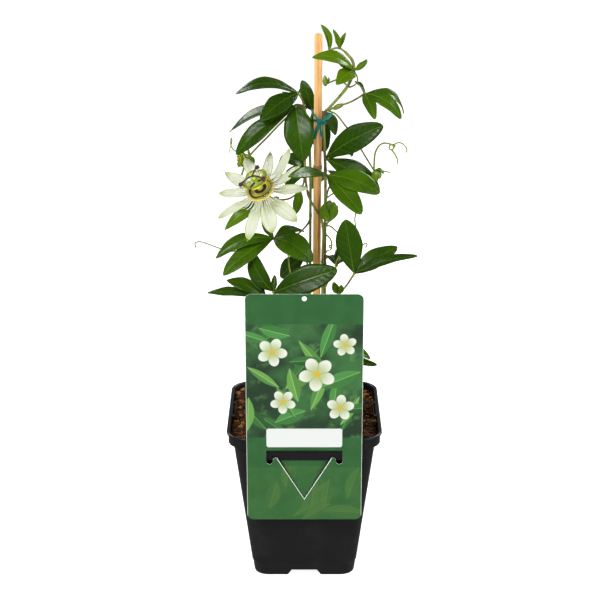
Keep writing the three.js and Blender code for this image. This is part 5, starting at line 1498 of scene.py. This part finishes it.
def add_bud(form, place, direction, length, width, finish=0, ribs=5, depth=0.05):
    """A closed bud: a pointed body with shallow ribs where its tepals meet."""
    outline = [(0, 0), (0.13, 0.012), (0.22, 0.04), (0.34, 0.14), (0.44, 0.28), (0.485, 0.40), (0.48, 0.52),
               (0.42, 0.65), (0.34, 0.78), (0.23, 0.88), (0.12, 0.96), (0.05, 0.99), (0, 1)]

    def ribbed(point):
        twist = math.atan2(point.y, point.x) + 0.8 * point.z / length
        swell = 1 + depth * abs(math.sin(ribs * twist / 2)) - depth * 0.6
        return Vector((point.x * swell, point.y * swell, point.z))

    bud = Form()
    lathe(bud, [(r * width, h * length) for r, h in outline], 30, shape=ribbed)
    bud.moved(aimed(place, direction))
    form.add(bud.points, bud.faces, finish, bud.marks, 0.4)


def add_bract(form, base, tip, width, bow, face, seed=1.0):
    length = (Vector(tip) - Vector(base)).length
    leafy_blade(form, Spine(base, tip, looking(*face), bow), 18, 4, leaf_half(width, 0.75, 1),
                leaf_rise(length, width, seed, BRACT_FOLD, 0.2), BRACT_FOLD, 0.4, BRACT_FINISH, 0.3)


def make_stem(name, radius, path, tendrils, paints):

    def nodes(share):
        near = min(abs(share - place) for place in STEM_NODES)
        return 0.35 * math.exp(-((near / 0.006) ** 2))

    form = Form()
    tube(form, path, radius, 14, 1.5, 0, bumps=nodes)
    for points in tendrils:
        tube(form, points, TENDRIL_RADIUS, 8, 1, 1, thin=0.75)
    piece(name + "_vine", form, paints, [name], "stem")


def make_buds(paints):
    """The closed buds on their stalks, with bracts and tendrils."""
    large = Form()
    foot = Vector((23, -7, 354.5))
    tube(large, [(19.8, 4.5, 352), (21, -2, 350.5), foot], 1.0, 10, 1.2, BUD_STALK_FINISH)
    add_bud(large, foot, (0.05, -0.05, 1), 19, 11)
    add_bract(large, foot, (19.4, -12, 374), 11, 3.4, (-30, 0), 0)
    add_bract(large, foot, (27.5, -10, 375), 11, 3.4, (40, 0), 1)
    add_bract(large, foot, (24, 0, 374), 11, 3.4, (180, 0), 2)
    add_bract(large, (25, -7, 358), (32, -7, 371), 5, 1.5, (80, 0))
    piece("bud_large_parts", large, paints, ["bud_large"], "bud")

    top = Form()
    tube(top, [(40, -12, 486), (31, -5, 490), (24, -1, 487), (20, 0, 485)], 0.8, 10, 1.2, BUD_STALK_FINISH)
    add_bud(top, (19.6, 0, 483), (-0.05, 0, 1), 10.5, 5.4)
    add_bract(top, (20, 0, 484), (22.6, -1, 492), 3.6, 1, (60, 0))
    piece("bud_top_parts", top, paints, ["bud_top"], "bud")

    round_bud = Form()
    foot = Vector((66, 4, 402))
    tube(round_bud, [(22.4, -1.6, 460), (28, -2.5, 458.5), (38, 3, 446), (48, 9, 431), (57, 8, 416), foot],
         0.8, 10, 1.4, BUD_STALK_FINISH)
    add_bud(round_bud, foot, (0.62, -0.2, -0.7), 10, 9.5, 0, 6, 0.10)
    add_bract(round_bud, foot, (69, -1, 392.5), 7, 2, (0, -10))
    add_bract(round_bud, foot, (75, 0, 399.5), 7, 2.4, (60, 50), 5)
    for thin, points in (
        (0.6, [foot, (73, 2, 402), (81, 2, 400.5)]),
        (0.62, [foot, (66.2, 3, 409.3), (66.4, 2, 415.4), (67.3, 2, 420.4), (70.8, 1, 427), (74.9, 0, 429.2),
                (79.1, -1, 429), (82.2, -2, 428.2), (84, -2.6, 426.3), (83.2, -3, 424), (81, -2.4, 423.4),
                (79.8, -1.6, 425), (80.6, 0.2, 427), (82.8, -0.6, 428), (85.5, -3, 429.2), (88, -4, 430.6),
                (91.6, -4, 429.9), (94.8, -4, 426.9), (96.3, -4, 424), (96, -4, 421.1)]),
        (0.6, [(82, -2.7, 423.7), (85.5, -3, 418.7), (87.5, -3, 414.4), (87.6, -3, 410.1)]),
    ):
        tube(round_bud, points, TENDRIL_RADIUS + 0.15, 8, 0.8, TENDRIL_FINISH, thin=thin)
    ball(round_bud, (84.4, -2.4, 427), (1.3, 1.3, 1.5), 3, TENDRIL_FINISH, lumps=0.4)
    piece("bud_round_parts", round_bud, paints, ["bud_round"], "bud")

    low = Form()
    foot = Vector((33, -27, 288.5))
    tube(low, [(33.5, -20, 286), (33.4, -23.5, 285.6), foot], 0.8, 10, 1.2, BUD_STALK_FINISH)
    add_bract(low, foot, (27.8, -28, 301), 8, 1.5, (-10, 10))
    add_bract(low, foot, (35.4, -27, 298), 6.4, 1.2, (20, 10), 7)
    piece("bud_low_parts", low, paints, ["bud_low"], "bud")


def make_flower_stalk(paints):
    form = Form()
    fork = Vector((-51.6, 2.5, 416.3))
    path = [(0.4, 2.6, 459.5), (-8, 3, 458), (-17, 3, 452.4), (-34, 3, 435.1), fork,
            (-57.2, 6, 404.1), (-60, 7, 392.8), (-57, 2, 382), (-47, -11, 375), (-38.6, -26, 377.6),
            (-36.25, -32.9, 385.6)]
    tube(form, path, 0.95, 12, 1.4, BUD_STALK_FINISH,
         bumps=lambda s: 0.5 * math.exp(-(((s - 0.47) / 0.02) ** 2)))
    ball(form, (-58.6, 3, 415.7), (4.0, 3.6, 3.4), 4, LUMPY_FINISH, lumps=0.55, seed=8)
    ball(form, (-60, 3, 410.6), (3.6, 3.5, 5.2), 4, LUMPY_FINISH, lumps=0.55, seed=4)
    tube(form, [fork, (-54.8, 3, 416.6), (-57.8, 3, 414.8)], 0.8, 8, 1, BUD_STALK_FINISH)
    add_bract(form, fork, (-47.1, 1, 409.8), 5, 1, (0, 20))
    add_bract(form, fork, (-53.1, 3, 423.3), 2.6, 0.6, (0, 10), 3)
    tendril = [fork, (-60.7, 5, 419.4), (-66.3, 6, 420.9), (-68.3, 6, 423.5), (-69.4, 6, 426),
               (-69.5, 6, 429.3), (-68.9, 6, 433), (-68.3, 6.6, 431.4), (-68.6, 7, 428.2), (-69.6, 7, 424.3),
               (-70.6, 7, 421), (-71.3, 7, 417.6)]
    tube(form, tendril, TENDRIL_RADIUS, 8, 1, TENDRIL_FINISH, thin=0.45)
    piece("flower_stalk_parts", form, paints, ["flower_stalk"], "bud")


# ---------------------------------------------------------------- the open flower


def in_flower(point):
    """From the flower's own frame, with its axis along z, to the part's frame."""
    axis = looking(FLOWER_TURN, FLOWER_LIFT)
    across = Vector((1, 0, 0))
    across = (across - axis * across.dot(axis)).normalized()
    x, y, z = point
    return FLOWER_CENTRE + across * x + axis.cross(across) * y + axis * z


def polar(radius, azimuth, height=0.0):
    angle = math.radians(azimuth)
    return Vector((radius * math.cos(angle), radius * math.sin(angle), height))


def ray(distance, azimuth, lift, height):
    """A place on a line that leaves the flower's middle at an azimuth and a lift."""
    rise = math.radians(lift)
    return polar(distance * math.cos(rise), azimuth, height + distance * math.sin(rise))


def lift_at(azimuth):
    """The tepals' lift at an azimuth from 0 to 360, blended between neighbours."""
    rows = [row[:2] for row in TEPALS]
    rows = [(rows[-1][0] - 360, rows[-1][1]), *rows, (rows[0][0] + 360, rows[0][1])]
    place = azimuth if azimuth >= rows[0][0] else azimuth + 360
    (a, low), (b, high) = next(pair for pair in zip(rows, rows[1:]) if place <= pair[1][0])
    return low + (high - low) * (place - a) / (b - a)


def make_tepals():
    form = Form()
    draw = random.Random(5)
    for number, (azimuth, lift, length, width, bow) in enumerate(TEPALS):
        tip = ray(length, azimuth, lift, TEPAL_HEIGHT)
        look = polar(math.cos(math.radians(90 + lift)), azimuth, math.sin(math.radians(90 + lift)))
        spine = Spine(ray(3, azimuth, lift, TEPAL_HEIGHT), tip, look, bow + 0.5)
        seed, _, tint = draw.uniform(0, 50), draw.random(), draw.random()
        sepal = number % 2 == 0

        def half_at(t, u):
            bare = max(math.sin(math.pi * min(t, 1) ** 1.35), 0)
            uneven = 1 + 0.10 * noise.noise(Vector((seed, 5 * t, 3 if u > 0 else 8)))
            return max(width / 2 * bare ** (0.72 if t < 0.6 else 0.58) * uneven, 0.3)

        def rise_at(t, u, half):
            rise = half * abs(u) ** 1.6 * 0.16
            rise += 0.09 * width * noise.noise(Vector((seed, 4.5 * t, 1.5 * u))) * (0.3 + u * u)
            rise += 0.16 * math.cos(13 * u) * math.sin(math.pi * t) ** 0.7
            if sepal and t > 0.8:
                rise += 1.6 * (t - 0.8) / 0.2 * (1 - abs(u))
            keel = 0.5 * math.exp(-((u / 0.16) ** 2)) * (0.4 + t)
            return rise, rise - keel

        blade(form, spine, 46, 9, half_at, rise_at, 0.42, 0, tint, lambda t, u, half: (t, u, half),
              math.cos(math.radians(6)))
        if sepal:
            awn = [tip + look * 0.2, tip + polar(1.6, azimuth) + look * 0.8,
                   tip + polar(2.4, azimuth) + look * 2.2]
            tube(form, awn, 0.4, 8, 0.5, 1, thin=0.3)
    awn = [ray(43, 142, 17, TEPAL_HEIGHT), ray(47, 142, 18.5, TEPAL_HEIGHT), ray(50, 144, 20, TEPAL_HEIGHT)]
    tube(form, awn, 0.45, 8, 0.8, 2, thin=0.4)
    cup = [(0, -9.3), (1.4, -9.3), (2.4, -9.1), (3.4, -8.4), (4.8, -6.6), (5.8, -4.9), (6.3, -3.4),
           (6.4, -1.9), (6.1, -1.6), (0, -1.6)]
    lathe(form, cup, 40, 3)
    form.moved(in_flower)
    cup_paint = plain_paint("flower_cup", (0.20, 0.36, 0.05), (0.30, 0.44, 0.09), 90, 0.45)
    awn_paint = plain_paint("tepal_awn", (0.26, 0.36, 0.06), (0.20, 0.24, 0.05), 90, 0.5)
    piece("tepal_ring", form, [tepal_top(), tepal_under(), awn_paint, cup_paint], ["flower_tepals"], "tepal")


def make_corona():
    form = Form()
    draw = random.Random(21)
    root = CORONA_ROOT
    for number in range(FILAMENTS):
        azimuth = 360 * number / FILAMENTS + draw.uniform(-1.2, 1.2)
        lift = lift_at(azimuth % 360) * 0.85 + CORONA_RISE + draw.uniform(-3, 3)
        reach = CORONA_REACH * draw.uniform(0.90, 1.06)
        if number % 2:
            lift += 5
            reach *= 0.93
        swing = draw.uniform(-2.2, 2.2)
        points = []
        for share in (0, 0.25, 0.5, 0.75, 1):
            points.append(ray(root - 1.4 + (reach - root + 1.4) * share, azimuth + swing * share ** 2,
                              lift + 24 * (share - 0.5) ** 2 - 6, 0.2 + 0.8 * (number % 2)))
        tube(form, points, 0.36, 6, 1.3, 0, draw.random(), 0.42)
    for number in range(KNOBS):
        azimuth = 360 * number / KNOBS + draw.uniform(-1.5, 1.5)
        foot = polar(root - 1.6, azimuth, 1.0)
        knob = polar(root - 0.4 + draw.uniform(-0.5, 1.2), azimuth, 2.6 + draw.uniform(-0.3, 0.7))
        tube(form, [foot, foot.lerp(knob, 0.5), knob], 0.26, 6, 0.7, 1)
        ball(form, knob, (0.5, 0.5, 0.42), 1, 1)
    ring = [(root - 1.9, -0.6), (root + 0.2, -0.7), (root + 0.9, -0.1), (root + 0.4, 0.7), (root - 0.8, 1.0),
            (root - 1.9, 0.9)]
    sides = 64
    points = [polar(r, 360 * j / sides, h) for r, h in ring for j in range(sides)]
    form.add(points, looped(len(ring), sides), 1)
    form.moved(in_flower)
    knobs = plain_paint("corona_knobs", (0.62, 0.52, 0.05), (0.75, 0.66, 0.16), 700, 0.5)
    piece("corona_filaments", form, [filament_paint(), knobs], ["flower_corona"], "corona")


def make_disc():
    form = Form()
    # Each row: radius, and height over the disc's base.
    profile = [(0, 0), (11.8, 0), (12.0, 0.5), (11.9, 1.3), (11.5, 1.75), (11.0, 1.95), (10.5, 1.9),
               (10.1, 1.3), (9.8, 0.85), (9.4, 1.05), (9.0, 0.85), (8.6, 1.2), (8.2, 0.95), (7.7, 1.5),
               (7.2, 1.65), (6.7, 1.5), (6.2, 1.1), (5.6, 0.8), (4.6, 0.6), (3, 0.5), (0, 0.5)]

    def fringed(point):
        if 6.6 < math.hypot(point.x, point.y) < 7.8:
            return point + Vector((0, 0, 0.3 * abs(math.sin(30 * math.atan2(point.y, point.x)))))
        return point

    lathe(form, [(radius, DISC_BASE + height) for radius, height in profile], 120, shape=fringed)
    draw = random.Random(31)
    for number in range(FRINGE_HAIRS):
        azimuth = 360 / FRINGE_HAIRS * number + draw.uniform(-2, 2)
        foot = polar(6.0, azimuth, DISC_BASE + 1.0)
        end = polar(draw.uniform(3.2, 4.2), azimuth + draw.uniform(-4, 4), DISC_BASE + draw.uniform(1.2, 2.0))
        tube(form, [foot, foot.lerp(end, 0.5) + Vector((0, 0, 0.3)), end], 0.15, 5, 0.8, 1, thin=0.5)
    form.moved(in_flower)
    hairs = plain_paint("disc_fringe", (0.045, 0.010, 0.016), (0.10, 0.02, 0.03), 500, 0.6)
    piece("flower_rings", form, [disc_paint(), hairs], ["flower_disc"], "flower_disc")


def add_anther(form, azimuth, seed):
    """A long anther across the end of its filament: green back, pollen along its lower edges."""
    sides = 16
    rings = 17
    points = []
    marks = []
    for i in range(rings):
        along = -1 + 2 * i / (rings - 1)
        reach = 6.4 * math.sin(along * TURN / 4)
        round_off = math.sqrt(max(1 - (reach / 6.5) ** 2, 0)) ** 0.7
        sag = -0.5 * (reach / 6.4) ** 2 + 0.1 * noise.noise(Vector((seed, reach, 0)))
        inward = -0.055 * reach * reach
        for j in range(sides):
            angle = TURN * j / sides
            x = 2.1 * math.cos(angle) * round_off
            z = 1.05 * math.sin(angle) * round_off
            z += (-0.35 if z > 0 else 0.3) * math.exp(-((x / 0.55) ** 2)) * round_off
            points.append(Vector((ANTHER_REACH + x + inward, reach, ANTHER_HEIGHT - 0.4 + z + sag)))
            marks.append((0.5 + 0.5 * math.sin(angle), along, abs(x)))
    turn = Matrix.Rotation(math.radians(azimuth), 3, "Z")
    form.add([turn @ p for p in points], capped(rings, sides), 1, marks)


def make_column():
    form = Form()
    high = ANTHER_HEIGHT
    top = OVARY_TOP
    profile = [(0, 2.6), (3.0, 2.6), (2.6, 3.1), (1.9, 3.9), (1.6, 5), (1.5, 8), (1.5, 11), (1.65, high - 1),
               (2.1, high - 0.4), (2.2, high + 0.3), (2.1, high + 0.8), (2.5, high + 1.6),
               (2.7, high + 2.3), (2.4, top - 0.9), (1.3, top - 0.15), (0, top)]
    lathe(form, profile, 32)
    rows = ((1.2, -0.6), (4, 0.3), (7.5, 0.5), (ANTHER_REACH - 0.7, 0.2), (ANTHER_REACH, 0))
    for number, azimuth in enumerate(ANTHER_AZIMUTHS):
        tube(form, [polar(reach, azimuth, high + rise) for reach, rise in rows], 0.8, 10, 0.8, 0, thin=0.6)
        add_anther(form, azimuth, number)
    form.moved(in_flower)
    piece("column_and_anthers", form, [column_paint(), anther_paint()], ["flower_column"], "flower_green")


def make_styles():
    form = Form()
    height = OVARY_TOP + 0.6
    ball(form, (0, 0, height + 0.4), (1.3, 1.3, 0.9), 3)
    for azimuth, reach, drop in STYLES:
        path = [polar(0.4, azimuth, height + 0.7), polar(0.35 * reach, azimuth, height + 1.3),
                polar(0.7 * reach, azimuth, height + 1.1), polar(reach, azimuth, height + drop)]
        tube(form, path, 0.72, 12, 0.8, 0, bumps=lambda s: 0.35 * max(s - 0.7, 0) / 0.3)
        ball(form, path[-1] + polar(0.3, azimuth, -0.2), (2.1, 2.1, 1.95), 4, 1, lumps=0.22, seed=azimuth)
    form.moved(in_flower)
    style = plain_paint("style", (0.022, 0.004, 0.009), (0.042, 0.007, 0.015), 500, 0.35)
    stigma = plain_paint("stigma", (0.040, 0.009, 0.014), (0.085, 0.022, 0.020), 900, 0.55, 0.8)
    piece("styles", form, [style, stigma], ["flower_styles"], "flower_dark")


# ---------------------------------------------------------------- light, floor and camera


def studio_part(name, points, faces, colour, glow, **shine):
    """A floor or backdrop that glows white."""
    mesh = bpy.data.meshes.new(name)
    mesh.from_pydata(points, [], faces)
    paint = Paint("studio_" + name, emission_color=(1, 1, 1), emission_strength=glow, **shine)
    paint.colour(colour)
    mesh.materials.append(paint.material)
    return placed(name, mesh)


def make_stage():
    reach = 1.2 * DOME_RADIUS
    corners = [(-reach, -reach, 0), (reach, -reach, 0), (reach, reach, 0), (-reach, reach, 0)]
    floor = studio_part("floor", corners, [(0, 1, 2, 3)], (0.62, 0.62, 0.62), FLOOR_GLOW,
                        roughness=0.7, specular_ior_level=0.1)
    floor.visible_glossy = False


def make_backdrop():
    """A white dome round the studio that only the camera sees, so that it throws no light."""
    rows, sides = 8, 32
    points = []
    for row in range(rows):
        rise = 0.98 * TURN / 4 * row / (rows - 1)
        for i in range(sides):
            around = TURN * i / sides
            points.append((DOME_RADIUS * math.cos(rise) * math.cos(around),
                           DOME_RADIUS * math.cos(rise) * math.sin(around),
                           DOME_RADIUS * math.sin(rise) - 0.01))
    faces = lofted(rows, sides) + [tuple(range((rows - 1) * sides, rows * sides))]
    dome = studio_part("backdrop", points, faces, (0, 0, 0), 1.0, roughness=1.0)
    dome.visible_diffuse = dome.visible_glossy = dome.visible_transmission = dome.visible_shadow = False


def area_light(name, place, size, power):
    lamp = bpy.data.lights.new(name, "AREA")
    lamp.shape = "RECTANGLE"
    lamp.size, lamp.size_y = size
    lamp.energy = power
    light = placed(name, lamp)
    light.location = place
    aim = Vector(LIT_PLACE) - Vector(place)
    light.rotation_euler = aim.to_track_quat("-Z", "Y").to_euler()


def make_lights():
    world = bpy.data.worlds.new("studio")
    bpy.context.scene.world = world
    world.use_nodes = True
    sky = world.node_tree.nodes["Background"]
    sky.inputs["Color"].default_value = (1, 1, 1, 1)
    sky.inputs["Strength"].default_value = SKY_GLOW
    area_light("key", (-0.9, -1.5, 1.7), (0.7, 0.7), 38)
    area_light("fill", (1.5, -1.1, 0.9), (0.8, 1.0), 13)
    area_light("back_right", (1.1, 1.2, 1.4), (0.9, 0.7), 26)
    area_light("back_left", (-1.1, 1.1, 1.2), (0.7, 0.7), 14)


def make_camera():
    camera = bpy.data.cameras.new("camera")
    camera.lens = CAMERA_LENS
    camera.sensor_width = SENSOR_WIDTH
    camera.shift_x = CAMERA_SHIFT
    eye = placed("camera", camera)
    eye.location = CAMERA_PLACE
    eye.rotation_euler = (math.radians(90 - CAMERA_PITCH), 0, 0)
    bpy.context.scene.camera = eye
    bpy.context.scene.view_settings.view_transform = "Standard"


# ---------------------------------------------------------------- everything together


def make_plant():
    petiole = stalk_paint("petiole", (0.16, 0.20, 0.02), (0.15, 0.055, 0.02), 0.45)
    tendril = stalk_paint("tendril", (0.20, 0.25, 0.015), (0.11, 0.11, 0.02), 0.25)
    stem = stalk_paint("stem", (0.19, 0.24, 0.045), (0.12, 0.07, 0.03), 0.35)
    bud = plain_paint("bud_green", (0.11, 0.20, 0.012), (0.19, 0.28, 0.03), 120, 0.35, 0.4, 0.1)
    for name, plan in STEMS.items():
        make_stem(name, *plan, [stem, tendril])
    ages = {age: [leaf_top(age), leaf_under(age), petiole, tendril] for age in ("dark", "mid", "young")}
    for name, (age, *leaf) in LEAVES.items():
        make_leaf(name, *leaf, ages[age])
    paints = [bud, leaf_top("bract"), leaf_under("bract"), tendril, petiole, lumpy_paint()]
    make_buds(paints)
    make_flower_stalk(paints)
    make_tepals()
    make_corona()
    make_disc()
    make_column()
    make_styles()


make_stage()
make_backdrop()
make_lights()
make_camera()
make_pot()
make_soil()
make_cane()
make_tie()
make_label()
make_plant()
